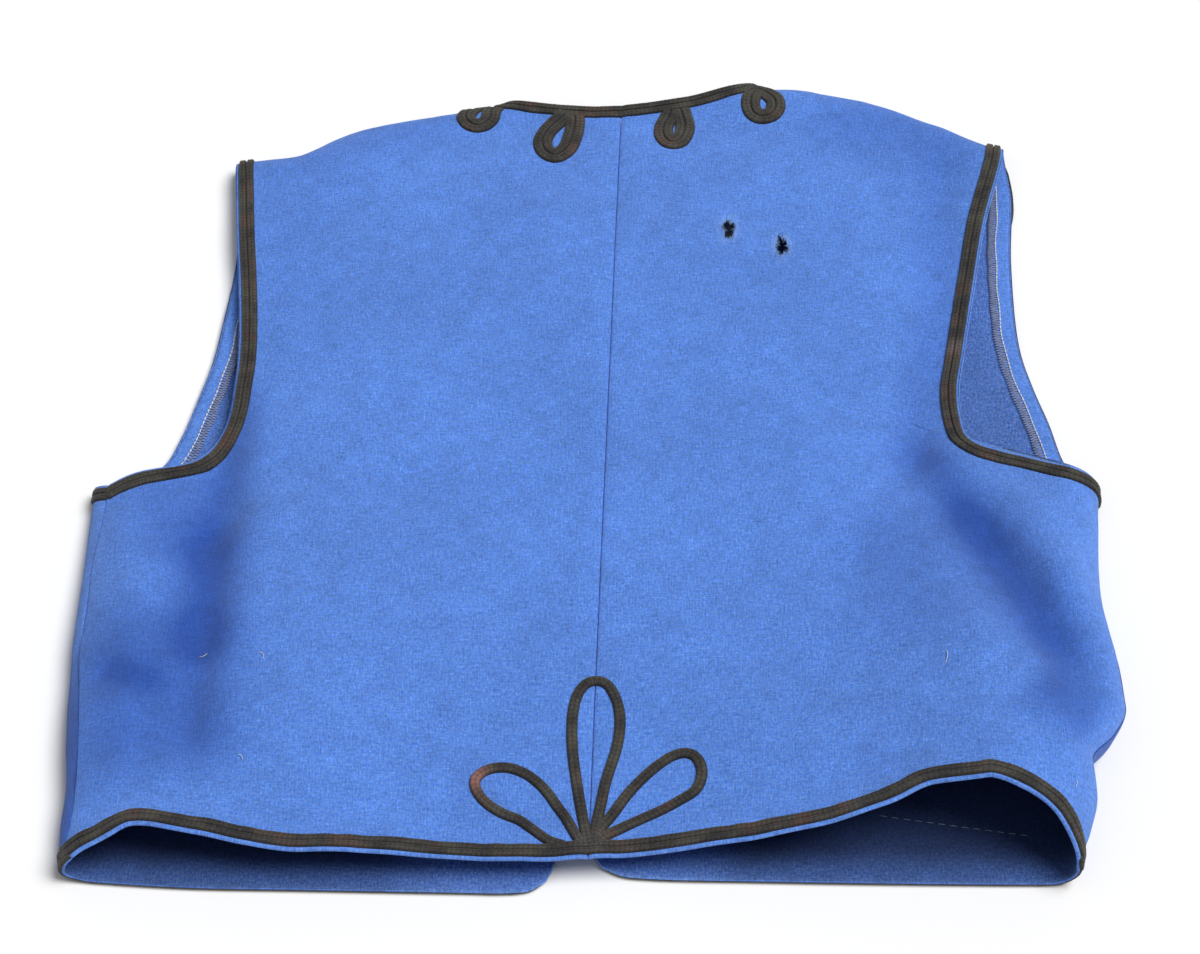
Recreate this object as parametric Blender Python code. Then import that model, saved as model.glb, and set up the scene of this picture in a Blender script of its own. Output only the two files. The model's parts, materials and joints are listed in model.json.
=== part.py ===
"""A blue woollen folk vest trimmed with dark soutache braid, lying flat with its back upwards.

Metres, +Z up. The hem is towards -Y and the neck towards +Y. The two fronts lie on the surface,
the back arches over them, and the sides and shoulders are soft folds between the two.
Every panel is worked out on its own flat sheet, whose points are then laid over the folds.
"""

import math

import bmesh
import bpy
import numpy as np
from mathutils import Matrix, Vector
from mathutils.bvhtree import BVHTree

# The middle of the finished vest's box on the sheets' plan: across, along
MIDDLE = (0.00149, 0.02948)

# Cloth, seams and braid
CLOTH = 0.0020
SEAM_GAP = 0.0003
BRAID_GAP = 0.00045
STRAND_WIDE = 0.0042
STRAND_THICK = 0.0013
ARMHOLE_MARGIN = 0.0018
HEM_MARGIN = 0.0015
FRONT_MARGIN = 0.0002
FRONT_INSET = 0.0015
HEM_INSET = 0.0035
NECK_MARGIN = 0.0006
NECK_TURN = 0.0035
LIFT = STRAND_THICK + BRAID_GAP
LIFT_BAND = 0.014
LIFT_REACH = 0.024

# The centre back seam leans a little, as the vest was laid down
CENTRE_X = 0.0065
CENTRE_LEAN = 0.035

# How far above the folds' outermost line the seams lie, measured along the cloth
SIDE_SEAM = {"left": 0.0130, "right": 0.0010}
SHOULDER_SEAM = 0.0010
UNDERARM_Y = {"left": -0.001, "right": 0.002}
SIDE_HEM_Y = {"left": -0.2335, "right": -0.2370}

# Side folds, a row for each section from the hem to the underarm:
# along, furthest reach from the middle, height of the furthest line, roundness above, roundness below
SIDE_FOLDS = {
    "left": (
        (-0.235, 0.2490, 0.008, 0.036, 0.015),
        (-0.222, 0.2512, 0.009, 0.036, 0.015),
        (-0.180, 0.2528, 0.012, 0.034, 0.016),
        (-0.100, 0.2572, 0.009, 0.028, 0.014),
        (-0.045, 0.2568, 0.007, 0.024, 0.012),
        (0.000, 0.2570, 0.006, 0.020, 0.010),
        (0.030, 0.2600, 0.006, 0.020, 0.010),
    ),
    "right": (
        (-0.236, 0.2290, 0.015, 0.048, 0.014),
        (-0.226, 0.2315, 0.015, 0.049, 0.014),
        (-0.216, 0.2355, 0.016, 0.051, 0.014),
        (-0.200, 0.2395, 0.020, 0.053, 0.016),
        (-0.182, 0.2388, 0.026, 0.053, 0.018),
        (-0.167, 0.2505, 0.025, 0.054, 0.020),
        (-0.150, 0.2580, 0.024, 0.052, 0.022),
        (-0.128, 0.2575, 0.023, 0.046, 0.022),
        (-0.100, 0.2554, 0.018, 0.038, 0.018),
        (-0.072, 0.2546, 0.010, 0.030, 0.014),
        (-0.030, 0.2580, 0.008, 0.024, 0.012),
        (0.004, 0.2605, 0.006, 0.020, 0.010),
        (0.030, 0.2640, 0.006, 0.020, 0.010),
    ),
}

# Heights of the back's outer face, a row for each section from the hem to the neck
HEIGHT_X = (-0.205, -0.120, 0.000, 0.110, 0.185)
HEIGHTS = (
    # along, left edge, left middle, centre, right middle, right edge
    (-0.225, 0.027, 0.0205, 0.0135, 0.0295, 0.048),
    (-0.180, 0.029, 0.024, 0.018, 0.032, 0.052),
    (-0.120, 0.028, 0.026, 0.023, 0.031, 0.048),
    (-0.060, 0.023, 0.025, 0.024, 0.028, 0.036),
    (0.000, 0.016, 0.022, 0.023, 0.025, 0.024),
    (0.080, 0.012, 0.020, 0.022, 0.022, 0.016),
    (0.160, 0.012, 0.018, 0.021, 0.019, 0.014),
    (0.240, 0.013, 0.016, 0.016, 0.016, 0.014),
    (0.264, 0.013, 0.014, 0.0145, 0.015, 0.013),
    (0.290, 0.013, 0.014, 0.0185, 0.016, 0.013),
)

# The braid holds the hem up: across, how far the edge rises
HEM_CURL = (
    (-0.245, 0.0040),
    (-0.210, 0.0090),
    (-0.160, 0.0065),
    (-0.050, 0.0050),
    (0.080, 0.0060),
    (0.140, 0.0085),
    (0.185, 0.0090),
    (0.220, 0.0060),
    (0.245, 0.0030),
)
CURL_REACH = 0.030

# Soft folds pressed into the back: start x, start y, end x, end y, height, half width
CREASES = (
    (-0.180, 0.005, -0.195, -0.150, -0.0035, 0.014),
    (-0.228, -0.030, -0.222, -0.150, 0.0015, 0.010),
    (0.197, 0.235, 0.184, 0.090, -0.0022, 0.012),
    (0.184, 0.090, 0.160, 0.000, -0.0030, 0.014),
    (0.185, -0.040, 0.236, -0.160, -0.0060, 0.018),
    (0.190, -0.192, 0.232, -0.184, 0.0030, 0.012),
    (0.060, -0.060, 0.110, -0.150, -0.0015, 0.022),
    (-0.090, 0.150, -0.070, 0.020, -0.0012, 0.020),
)

# The far edge of the vest seen from above: across, along. It is the neck edge between the two neck points
# and the shoulder folds beyond them.
TOP_EDGE = (
    (-0.205, 0.2370),
    (-0.168, 0.2450),
    (-0.138, 0.2630),
    (-0.110, 0.2720),
    (-0.075, 0.2795),
    (-0.053, 0.2825),
    (0.004, 0.2780),
    (0.050, 0.2840),
    (0.084, 0.2955),
    (0.097, 0.2980),
    (0.112, 0.2975),
    (0.147, 0.2918),
    (0.191, 0.2725),
    (0.221, 0.2535),
    (0.236, 0.2490),
)
NECK_POINT = {"left": -0.060, "right": 0.104}
NECK_END = {"left": -0.0615, "right": 0.1055}
SHOULDER_END = {"left": -0.2000, "right": 0.2320}
NECK_EASE = 0.026
SHOULDER_LEVEL = 0.007
SHOULDER_OVER = 0.016
SHOULDER_UNDER = 0.010

# The back's hem on its sheet: across, along
BACK_HEM = (
    (-0.2500, -0.2340),
    (-0.2290, -0.2285),
    (-0.2140, -0.2235),
    (-0.1830, -0.2275),
    (-0.1365, -0.2325),
    (-0.0895, -0.2327),
    (-0.0287, -0.2334),
    (-0.0025, -0.2308),
    (0.0515, -0.2288),
    (0.1080, -0.2238),
    (0.1365, -0.2187),
    (0.1592, -0.2112),
    (0.1822, -0.2108),
    (0.2012, -0.2160),
    (0.2182, -0.2235),
    (0.2366, -0.2330),
    (0.2480, -0.2370),
)

# The back's armholes from the side seam to the shoulder fold: across, along
BACK_ARMHOLE = {
    "left": (
        (-0.2360, 0.0060),
        (-0.2060, 0.0170),
        (-0.1930, 0.0400),
        (-0.1890, 0.0720),
        (-0.1895, 0.1110),
        (-0.1950, 0.1720),
        (-0.1998, 0.2300),
    ),
    "right": (
        (0.2530, 0.0028),
        (0.2415, 0.0058),
        (0.2213, 0.0132),
        (0.2114, 0.0158),
        (0.2010, 0.0203),
        (0.1955, 0.0270),
        (0.1934, 0.0380),
        (0.1932, 0.0620),
        (0.1981, 0.0914),
        (0.2064, 0.1350),
        (0.2165, 0.1870),
        (0.2300, 0.2380),
    ),
}

# The fronts' outlines on their sheets: across, along
FRONT_HEM = {
    "left": (
        (-0.2450, -0.2338),
        (-0.2330, -0.2350),
        (-0.1900, -0.2380),
        (-0.1370, -0.2392),
        (-0.0600, -0.2408),
        (-0.0400, -0.2411),
        (-0.0290, -0.2398),
        (-0.0212, -0.2345),
    ),
    "right": (
        (0.2400, -0.2368),
        (0.2278, -0.2364),
        (0.1925, -0.2362),
        (0.1454, -0.2357),
        (0.0795, -0.2345),
        (0.0277, -0.2331),
        (0.0145, -0.2314),
        (0.0051, -0.2269),
    ),
}
FRONT_CENTRE = {
    "left": (
        (-0.0212, -0.2345),
        (-0.0170, -0.2240),
        (-0.0155, -0.2000),
        (-0.0150, -0.1000),
        (-0.0150, 0.0000),
        (-0.0210, 0.0450),
        (-0.0400, 0.1000),
        (-0.0580, 0.1850),
        (-0.0615, 0.2450),
        (-0.0615, 0.2785),
    ),
    "right": (
        (0.0051, -0.2269),
        (0.0000, -0.2180),
        (0.0000, -0.1900),
        (0.0020, -0.1000),
        (0.0040, 0.0000),
        (0.0160, 0.0450),
        (0.0500, 0.1000),
        (0.0860, 0.1850),
        (0.1015, 0.2450),
        (0.1055, 0.2880),
    ),
}
FRONT_ARMHOLE = {
    "left": (
        (-0.2450, 0.0080),
        (-0.2240, 0.0200),
        (-0.2160, 0.0390),
        (-0.2080, 0.0710),
        (-0.2030, 0.0940),
        (-0.1997, 0.1220),
        (-0.1960, 0.1650),
        (-0.1970, 0.2050),
        (-0.1995, 0.2300),
    ),
    "right": (
        (0.2590, 0.0045),
        (0.2520, 0.0100),
        (0.2460, 0.0230),
        (0.2405, 0.0500),
        (0.2343, 0.0750),
        (0.2295, 0.1030),
        (0.2300, 0.1670),
        (0.2343, 0.2180),
        (0.2330, 0.2400),
    ),
}

# How densely the panels and strips are divided
BODY_ROWS = 18
ARMHOLE_ROWS = 15
FRONT_COLUMNS = 14
NECK_COLUMNS = 6
BRAID_STEP = 0.014
BRAID_TURN = math.radians(20)
HIDDEN_STEP = 0.022
HIDDEN_TURN = math.radians(28)
MIDDLE_TURN = -0.020
SHEET_STEP = 0.0004
RAISE_PASSES = 3
RAY_START = 0.0018

# Sections of braid and tape, over the top and back along the underside:
# distance in strand widths, height in strand thicknesses
DOUBLE = (
    (0.0, 0.35),
    (0.5, 1.0),
    (1.0, 0.45),
    (1.5, 1.0),
    (2.0, 0.35),
    (2.0, 0.0),
    (1.0, 0.0),
    (0.0, 0.0),
)
SINGLE = ((0.0, 0.35), (0.5, 1.0), (1.0, 0.35), (1.0, 0.0), (0.0, 0.0))
PLAIN = ((0.0, 1.0), (2.0, 1.0), (2.0, 0.0), (1.0, 0.0), (0.0, 0.0))
TAPE = ((0.0, 1.0), (0.5, 1.0), (1.0, 1.0), (1.0, 0.0), (0.5, 0.0), (0.0, 0.0))

# Neck loops, doubled braid bent into drops that hang from the neck braid, each from one foot to the other:
# across, along
NECK_LOOPS = {
    "1": (
        (-0.0560, 0.2750),
        (-0.0568, 0.2690),
        (-0.0610, 0.2634),
        (-0.0661, 0.2622),
        (-0.0710, 0.2650),
        (-0.0731, 0.2700),
        (-0.0718, 0.2755),
        (-0.0690, 0.2810),
    ),
    "2": (
        (-0.0085, 0.2680),
        (-0.0098, 0.2545),
        (-0.0141, 0.2412),
        (-0.0212, 0.2359),
        (-0.0273, 0.2401),
        (-0.0295, 0.2489),
        (-0.0264, 0.2590),
        (-0.0217, 0.2675),
    ),
    "3": (
        (0.0415, 0.2708),
        (0.0389, 0.2626),
        (0.0390, 0.2531),
        (0.0432, 0.2467),
        (0.0490, 0.2480),
        (0.0527, 0.2556),
        (0.0534, 0.2642),
        (0.0520, 0.2712),
    ),
    "4": (
        (0.0896, 0.2858),
        (0.0883, 0.2799),
        (0.0901, 0.2726),
        (0.0949, 0.2691),
        (0.1013, 0.2705),
        (0.1050, 0.2761),
        (0.1049, 0.2832),
        (0.1008, 0.2885),
    ),
}
LOOP_POINTS = 19

# Petals above the middle of the hem, single braid, each from one root to the other: across, along
PETALS = {
    "left": (
        (-0.0242, -0.2175),
        (-0.0343, -0.2090),
        (-0.0427, -0.2052),
        (-0.0502, -0.2000),
        (-0.0545, -0.1942),
        (-0.0555, -0.1888),
        (-0.0519, -0.1841),
        (-0.0462, -0.1818),
        (-0.0396, -0.1816),
        (-0.0316, -0.1844),
        (-0.0253, -0.1893),
        (-0.0204, -0.1951),
        (-0.0160, -0.2020),
        (-0.0115, -0.2092),
    ),
    "centre": (
        (-0.0046, -0.2045),
        (-0.0071, -0.1879),
        (-0.0086, -0.1754),
        (-0.0094, -0.1628),
        (-0.0089, -0.1501),
        (-0.0066, -0.1398),
        (-0.0029, -0.1342),
        (0.0020, -0.1320),
        (0.0076, -0.1346),
        (0.0116, -0.1417),
        (0.0136, -0.1503),
        (0.0136, -0.1588),
        (0.0120, -0.1697),
        (0.0090, -0.1805),
        (0.0064, -0.1904),
        (0.0039, -0.2035),
    ),
    "right": (
        (0.0125, -0.2021),
        (0.0163, -0.1964),
        (0.0236, -0.1877),
        (0.0310, -0.1806),
        (0.0384, -0.1757),
        (0.0450, -0.1745),
        (0.0500, -0.1771),
        (0.0525, -0.1833),
        (0.0520, -0.1899),
        (0.0490, -0.1955),
        (0.0424, -0.1998),
        (0.0344, -0.2042),
        (0.0257, -0.2079),
        (0.0140, -0.2134),
    ),
}
PETAL_WIDE = 0.0060
PETAL_THICK = 0.0018
PETAL_POINTS = 29

# Moth holes through the right back: across, along, half width, half length, turn of the ragged outline
MOTH_HOLES = (
    (0.0745, 0.1775, 0.0034, 0.0078, 0.4),
    (0.1032, 0.1655, 0.0033, 0.0075, 2.2),
)

HOLE_POINTS = 14
HOLE_POST = (0.008, 0.030)

# The turned allowance inside each front armhole
TURNING_WIDE = 0.0125
TURNING_THICK = 0.0010
TURNING_MARGIN = 0.0012
TURNING_RUN = (0.17, 0.93)

# A strand of braid on the right front, just under the side fold: from, to, distance from the side seam
SIDE_STRAND = (-0.062, -0.010, 0.0055)

BLUE = (0.075, 0.190, 0.600, 1.0)
BRAID_BROWN = (0.045, 0.038, 0.032, 1.0)
OVERLOCK_GREY = (0.300, 0.330, 0.480, 1.0)

QUARTER = np.linspace(0.0, math.pi / 2, 25)


# Curves

def take(rows, index):
    return np.take_along_axis(rows, index[..., None], -1)[..., 0]


def smooth(at, knots, values):
    """A cubic curve through the knots that never overshoots. values may hold a row for each place."""
    knots = np.asarray(knots, float)
    at = np.clip(np.asarray(at, float), knots[0], knots[-1])
    values = np.broadcast_to(np.asarray(values, float), at.shape + (len(knots),))
    steps = np.diff(knots)
    rises = np.diff(values, axis=-1) / steps
    before, after = rises[..., :-1], rises[..., 1:]
    same_way = before * after > 0
    slopes = np.zeros(values.shape)
    slopes[..., 1:-1] = np.where(same_way, 2 * before * after / np.where(same_way, before + after, 1), 0)
    slopes[..., 0] = rises[..., 0]
    slopes[..., -1] = rises[..., -1]
    i = np.clip(np.searchsorted(knots, at, side="right") - 1, 0, len(knots) - 2)
    step = steps[i]
    t = (at - knots[i]) / step
    return (
        take(values, i) * (1 + 2 * t) * (1 - t) ** 2
        + take(values, i + 1) * t * t * (3 - 2 * t)
        + take(slopes, i) * step * t * (1 - t) ** 2
        - take(slopes, i + 1) * step * t * t * (1 - t)
    )


def column(rows, number):
    return np.array([row[number] for row in rows])


def ease(t):
    t = np.clip(t, 0, 1)
    return t * t * (3 - 2 * t)


def even(line, count):
    """count points at even distances along a line."""
    far = np.concatenate([[0], np.cumsum(np.linalg.norm(np.diff(line, axis=0), axis=1))])
    at = np.linspace(0, far[-1], count)
    return np.stack([np.interp(at, far, line[:, k]) for k in range(line.shape[1])], -1)


def length_of(line):
    return np.linalg.norm(np.diff(line, axis=0), axis=1).sum()


def path(points, count=240):
    """count points at even distances along a smooth curve through the points."""
    points = np.asarray(points, float)
    spans = np.sqrt(np.linalg.norm(np.diff(points, axis=0), axis=1))
    knots = np.concatenate([[0], np.cumsum(spans)])
    rises = np.diff(points, axis=0) / spans[:, None]
    tangents = np.empty_like(points)
    before, after = spans[:-1, None], spans[1:, None]
    tangents[1:-1] = (after * rises[:-1] + before * rises[1:]) / (before + after)
    tangents[0] = rises[0]
    tangents[-1] = rises[-1]
    at = np.linspace(0, knots[-1], 40 * len(points))
    i = np.clip(np.searchsorted(knots, at, side="right") - 1, 0, len(spans) - 1)
    t = ((at - knots[i]) / spans[i])[:, None]
    span = spans[i][:, None]
    line = (
        points[i] * (1 + 2 * t) * (1 - t) ** 2
        + points[i + 1] * t * t * (3 - 2 * t)
        + tangents[i] * span * t * (1 - t) ** 2
        - tangents[i + 1] * span * t * t * (1 - t)
    )
    return even(line, count)


# The folds

def quarter_lengths(wide, high):
    """Lengths along a quarter ellipse from its level end, at the angles of QUARTER."""
    wide, high = wide[..., None], high[..., None]
    speed = np.hypot(wide * np.cos(QUARTER), high * np.sin(QUARTER))
    steps = (speed[..., 1:] + speed[..., :-1]) / 2 * QUARTER[1]
    return np.concatenate([np.zeros(steps.shape[:-1] + (1,)), np.cumsum(steps, -1)], -1)


def angle_at(length, lengths):
    i = np.clip((lengths <= length[..., None]).sum(-1) - 1, 0, len(QUARTER) - 2)
    low, high = take(lengths, i), take(lengths, i + 1)
    return QUARTER[i] + (length - low) / (high - low) * QUARTER[1]


def side_fold(x, y):
    """Reach, level, roundness above and roundness below of the fold on the side of x, at y."""
    return [
        np.where(
            x < 0,
            smooth(y, column(SIDE_FOLDS["left"], 0), column(SIDE_FOLDS["left"], k)),
            smooth(y, column(SIDE_FOLDS["right"], 0), column(SIDE_FOLDS["right"], k)),
        )
        for k in (1, 2, 3, 4)
    ]


def crease_height(x, y):
    total = np.zeros(np.shape(x))
    for start_x, start_y, end_x, end_y, height, half_width in CREASES:
        along_x, along_y = end_x - start_x, end_y - start_y
        long = math.hypot(along_x, along_y)
        share = ((x - start_x) * along_x + (y - start_y) * along_y) / long**2
        aside = ((x - start_x) * along_y - (y - start_y) * along_x) / long
        ends = ease((share + 0.25) / 0.5) * ease((1.25 - share) / 0.5)
        total += height * ends * np.exp(-((aside / half_width) ** 2))
    return total


def top_height(x, y):
    """Height of the back's outer face over a place, its side and shoulder folds left aside."""
    knots = column(HEIGHTS, 0)
    rows = np.stack([smooth(y, knots, column(HEIGHTS, k)) for k in range(1, 6)], -1)
    return smooth(x, HEIGHT_X, rows) + crease_height(x, y) + hem_curl(x, y)


def hem_curl(x, y):
    rise = smooth(x, column(HEM_CURL, 0), column(HEM_CURL, 1))
    hem = smooth(x, column(BACK_HEM, 0), column(BACK_HEM, 1))
    return rise * np.clip((hem + CURL_REACH - y) / CURL_REACH, 0, 1) ** 2


def top_edge(x):
    return smooth(x, column(TOP_EDGE, 0), column(TOP_EDGE, 1))


def on_shoulder(x):
    """1 where the far edge is a shoulder fold, 0 where it is the neck edge."""
    left = ease((NECK_POINT["left"] + NECK_EASE - x) / NECK_EASE)
    right = ease((x - NECK_POINT["right"] + NECK_EASE) / NECK_EASE)
    return left + right


def back_place(x, y):
    """Where a point of the back's sheet lies. Away from the folds x and y are its place seen from above."""
    x, y = np.broadcast_arrays(np.asarray(x, float), np.asarray(y, float))
    side = np.sign(x)
    reach, level, over, _ = side_fold(x, y)
    start = reach - over
    drop = top_height(side * start, y) - level
    angle = angle_at(np.maximum(np.abs(x) - start, 0), quarter_lengths(over, drop))
    in_fold = np.abs(x) > start
    flat_x = np.where(in_fold, side * (start + over * np.sin(angle)), x)
    side_turn = np.where(in_fold, 1 - np.cos(angle), 0)

    share = on_shoulder(flat_x)
    start = top_edge(flat_x) - SHOULDER_OVER
    drop = top_height(flat_x, start) - SHOULDER_LEVEL
    past = np.maximum(y - start, 0)
    angle = angle_at(past, quarter_lengths(np.full(x.shape, SHOULDER_OVER), drop))
    flat_y = np.where(y > start, (1 - share) * y + share * (start + SHOULDER_OVER * np.sin(angle)), y)
    shoulder_turn = np.where(y > start, share * (1 - np.cos(angle)), 0)
    height = top_height(flat_x, flat_y)
    height = height + (level - height) * side_turn
    height = height + (SHOULDER_LEVEL - height) * shoulder_turn
    return np.stack([flat_x, flat_y, height], -1)


def shoulder_lengths(x):
    """Lengths of cloth round the shoulder fold above and below its furthest line."""
    drop = top_height(x, top_edge(x) - SHOULDER_OVER) - SHOULDER_LEVEL
    over = quarter_lengths(np.full(np.shape(x), SHOULDER_OVER), drop)[..., -1]
    under = quarter_lengths(np.full(np.shape(x), SHOULDER_UNDER), np.full(np.shape(x), SHOULDER_LEVEL))
    return over, under[..., -1]


def side_lengths(x, y):
    reach, level, over, under = side_fold(x, y)
    drop = top_height(np.sign(x) * (reach - over), y) - level
    return quarter_lengths(over, drop)[..., -1], quarter_lengths(under, level)[..., -1]


def front_place_on(edges):
    """The place function of a front's sheet. Near its braided edges the cloth is raised by the braid beneath."""

    def place(x, y):
        x, y = np.broadcast_arrays(np.asarray(x, float), np.asarray(y, float))
        side = np.sign(x)
        reach, level, over, under = side_fold(x, y)
        over_length, under_length = side_lengths(x, y)
        near = np.min(np.hypot(x[..., None] - edges[:, 0], y[..., None] - edges[:, 1]), -1)
        lift = LIFT * (1 - ease((near - LIFT_BAND) / LIFT_REACH))

        start = reach - under
        past = np.abs(x) - start
        angle = angle_at(np.clip(past, 0, under_length), quarter_lengths(under, level))
        flat_x = np.where(past > 0, side * (start + under * np.sin(angle)), x)
        height = np.where(past > 0, lift * np.cos(angle) + level * (1 - np.cos(angle)), lift)

        shoulder_over, shoulder_under = shoulder_lengths(flat_x)
        start_y = top_edge(flat_x) - SHOULDER_UNDER
        past_y = y - start_y
        round_y = np.full(x.shape, SHOULDER_UNDER)
        level_y = np.full(x.shape, SHOULDER_LEVEL)
        angle = angle_at(np.clip(past_y, 0, shoulder_under), quarter_lengths(round_y, level_y))
        flat_y = np.where(past_y > 0, start_y + SHOULDER_UNDER * np.sin(angle), y)
        rolled = height * np.cos(angle) + SHOULDER_LEVEL * (1 - np.cos(angle))
        height = np.where(past_y > 0, rolled, height)
        place = np.stack([flat_x, flat_y, height], -1)

        above_x = side * (reach - over + over_length - (past - under_length))
        above_y = top_edge(flat_x) - SHOULDER_OVER + shoulder_over - (past_y - shoulder_under)
        beyond_side = (past > under_length)[..., None]
        beyond_shoulder = (past_y > shoulder_under)[..., None]
        place = np.where(beyond_side, back_place(above_x, y), place)
        return np.where(beyond_shoulder, back_place(x, above_y), place)

    return place


def outward(place, facing, x, y):
    """Points of a sheet and the directions in which its outer face looks."""
    step = SHEET_STEP
    across = place(x + step, y) - place(x - step, y)
    along = place(x, y + step) - place(x, y - step)
    normal = facing * np.cross(across, along)
    return place(x, y), normal / np.linalg.norm(normal, axis=-1, keepdims=True)


# Outlines of the sheets

def signed(side):
    return -1.0 if side == "left" else 1.0


def centre_seam(y):
    return CENTRE_X + CENTRE_LEAN * y


def back_side_x(side, y):
    """The side seam on the back's sheet."""
    y = np.asarray(y, float)
    sign = signed(side)
    reach, _, over, _ = side_fold(np.full(y.shape, sign), y)
    over_length, _ = side_lengths(np.full(y.shape, sign), y)
    return sign * (reach - over + over_length - SIDE_SEAM[side] - SEAM_GAP / 2)


def front_side_x(side, y):
    """The side seam on the front's sheet."""
    y = np.asarray(y, float)
    sign = signed(side)
    reach, _, _, under = side_fold(np.full(y.shape, sign), y)
    _, under_length = side_lengths(np.full(y.shape, sign), y)
    return sign * (reach - under + under_length + SIDE_SEAM[side] - SEAM_GAP / 2)


def back_top_y(x):
    """The shoulder seams and the neck edge on the back's sheet."""
    x = np.asarray(x, float)
    over_length, _ = shoulder_lengths(x)
    extra = over_length - SHOULDER_OVER - SHOULDER_SEAM - SEAM_GAP / 2
    return top_edge(x) + on_shoulder(x) * extra


def front_top_y(x):
    """The shoulder seam on a front's sheet."""
    x = np.asarray(x, float)
    _, under_length = shoulder_lengths(x)
    return top_edge(x) - SHOULDER_UNDER + under_length + SHOULDER_SEAM - SEAM_GAP / 2


def armhole_line(side, seam_x, points, top_y):
    start = (float(seam_x(side, UNDERARM_Y[side])), UNDERARM_Y[side])
    end_x = SHOULDER_END[side]
    return path((start,) + points + ((end_x, float(top_y(end_x))),))


def patch(bottom, top, left, right, shares):
    """Points inside four edges, as rows from the bottom up. shares says how the columns are spread."""
    u = shares[None, :, None]
    v = np.linspace(0, 1, len(left))[:, None, None]
    ruled = (1 - u) * left[:, None] + u * right[:, None] + (1 - v) * bottom[None] + v * top[None]
    corners = (
        (1 - u) * (1 - v) * bottom[0]
        + u * (1 - v) * bottom[-1]
        + (1 - u) * v * top[0]
        + u * v * top[-1]
    )
    return ruled - corners


def spread(line, shares):
    """Points of a line at these shares of its length."""
    far = np.concatenate([[0], np.cumsum(np.linalg.norm(np.diff(line, axis=0), axis=1))])
    return np.stack([np.interp(shares * far[-1], far, line[:, k]) for k in (0, 1)], -1)


def outer_rows(side, seam_x, points, top_y):
    """Side seam and armhole as one line, with a point for each row. Both panels' rows meet at the seam."""
    y = SIDE_HEM_Y[side] + (UNDERARM_Y[side] - SIDE_HEM_Y[side]) * body_shares()
    seam = np.stack([seam_x(side, y), y], -1)
    armhole = spread(armhole_line(side, seam_x, points, top_y), armhole_shares())
    return np.concatenate([seam, armhole[1:]])


def body_shares():
    """Rows up the side, closer together near the hem."""
    t = np.linspace(0, 1, BODY_ROWS + 1)
    return 0.62 * t + 0.38 * t * t


def armhole_shares():
    """Rows round the armhole, closer together at the underarm and at the shoulder fold."""
    t = np.linspace(0, 1, ARMHOLE_ROWS + 1)
    return t - 0.62 * np.sin(2 * math.pi * t) / (2 * math.pi)


def centre_rows(low, high):
    """Where the rows meet the middle, a little below the underarm's own height."""
    body = low + (MIDDLE_TURN - low) * body_shares()
    above = MIDDLE_TURN + (high - MIDDLE_TURN) * armhole_shares()
    return np.concatenate([body, above[1:]])


def back_shares(count):
    """Columns closer together near the side fold."""
    t = np.linspace(0, 1, count + 1)
    return 0.45 * t + 0.55 * t * t


def front_shares(count):
    """Columns closer together near both edges."""
    t = np.linspace(0, 1, count + 1)
    return t - 0.68 * np.sin(2 * math.pi * t) / (2 * math.pi)


def shoulder_columns(side):
    """Where the columns of both panels meet the shoulder seam."""
    return SHOULDER_END[side] + (NECK_END[side] - SHOULDER_END[side]) * front_shares(FRONT_COLUMNS)


def back_sheet(side):
    sign = signed(side)
    outer = outer_rows(side, back_side_x, BACK_ARMHOLE[side], back_top_y)

    hem_end = centre_seam(-0.23) + sign * SEAM_GAP / 2
    hem_x = np.linspace(outer[0, 0], hem_end, 200)
    hem_y = smooth(hem_x, column(BACK_HEM, 0), column(BACK_HEM, 1))
    hem_y = hem_y + (outer[0, 1] - hem_y[0]) * np.linspace(1, 0, 200) ** 8
    shares = back_shares(FRONT_COLUMNS + NECK_COLUMNS)
    hem = spread(np.stack([hem_x, hem_y], -1), shares)

    top_end = centre_seam(0.28) + sign * SEAM_GAP / 2
    neck_x = NECK_END[side] + (top_end - NECK_END[side]) * np.linspace(0, 1, NECK_COLUMNS + 1) ** 1.4
    top_x = np.concatenate([shoulder_columns(side), neck_x[1:]])
    top = np.stack([top_x, back_top_y(top_x)], -1)

    middle_y = centre_rows(hem[-1, 1], top[-1, 1])
    middle = np.stack([centre_seam(middle_y) + sign * SEAM_GAP / 2, middle_y], -1)
    middle[0] = hem[-1]
    middle[-1] = top[-1]
    outer[-1] = top[0]
    return patch(hem, top, outer, middle, shares)


def front_lines(side):
    """Hem, centre edge and armhole of a front."""
    seam = (float(front_side_x(side, SIDE_HEM_Y[side])), SIDE_HEM_Y[side])
    hem = path((seam,) + FRONT_HEM[side])
    centre_edge = path(FRONT_CENTRE[side] + ((NECK_END[side], float(front_top_y(NECK_END[side]))),))
    armhole = armhole_line(side, front_side_x, FRONT_ARMHOLE[side], front_top_y)
    return hem, centre_edge, armhole


def front_sheet(side):
    hem_line, centre_line, _ = front_lines(side)
    outer = outer_rows(side, front_side_x, FRONT_ARMHOLE[side], front_top_y)
    shares = front_shares(FRONT_COLUMNS)
    hem = spread(hem_line, shares)
    top_x = shoulder_columns(side)
    top = np.stack([top_x, front_top_y(top_x)], -1)
    centre_edge = spread(centre_line, (centre_rows(-0.23, 0.28) + 0.23) / 0.51)
    hem[0] = outer[0]
    hem[-1] = centre_edge[0]
    top[0] = outer[-1]
    top[-1] = centre_edge[-1]
    return patch(hem, top, outer, centre_edge, shares)


# Solids

def coat(name, colour, roughness):
    material = bpy.data.materials.new(name)
    material.use_nodes = True
    shader = material.node_tree.nodes["Principled BSDF"]
    shader.inputs["Base Color"].default_value = colour
    shader.inputs["Roughness"].default_value = roughness
    shader.inputs["Metallic"].default_value = 0.0
    return material


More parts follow.
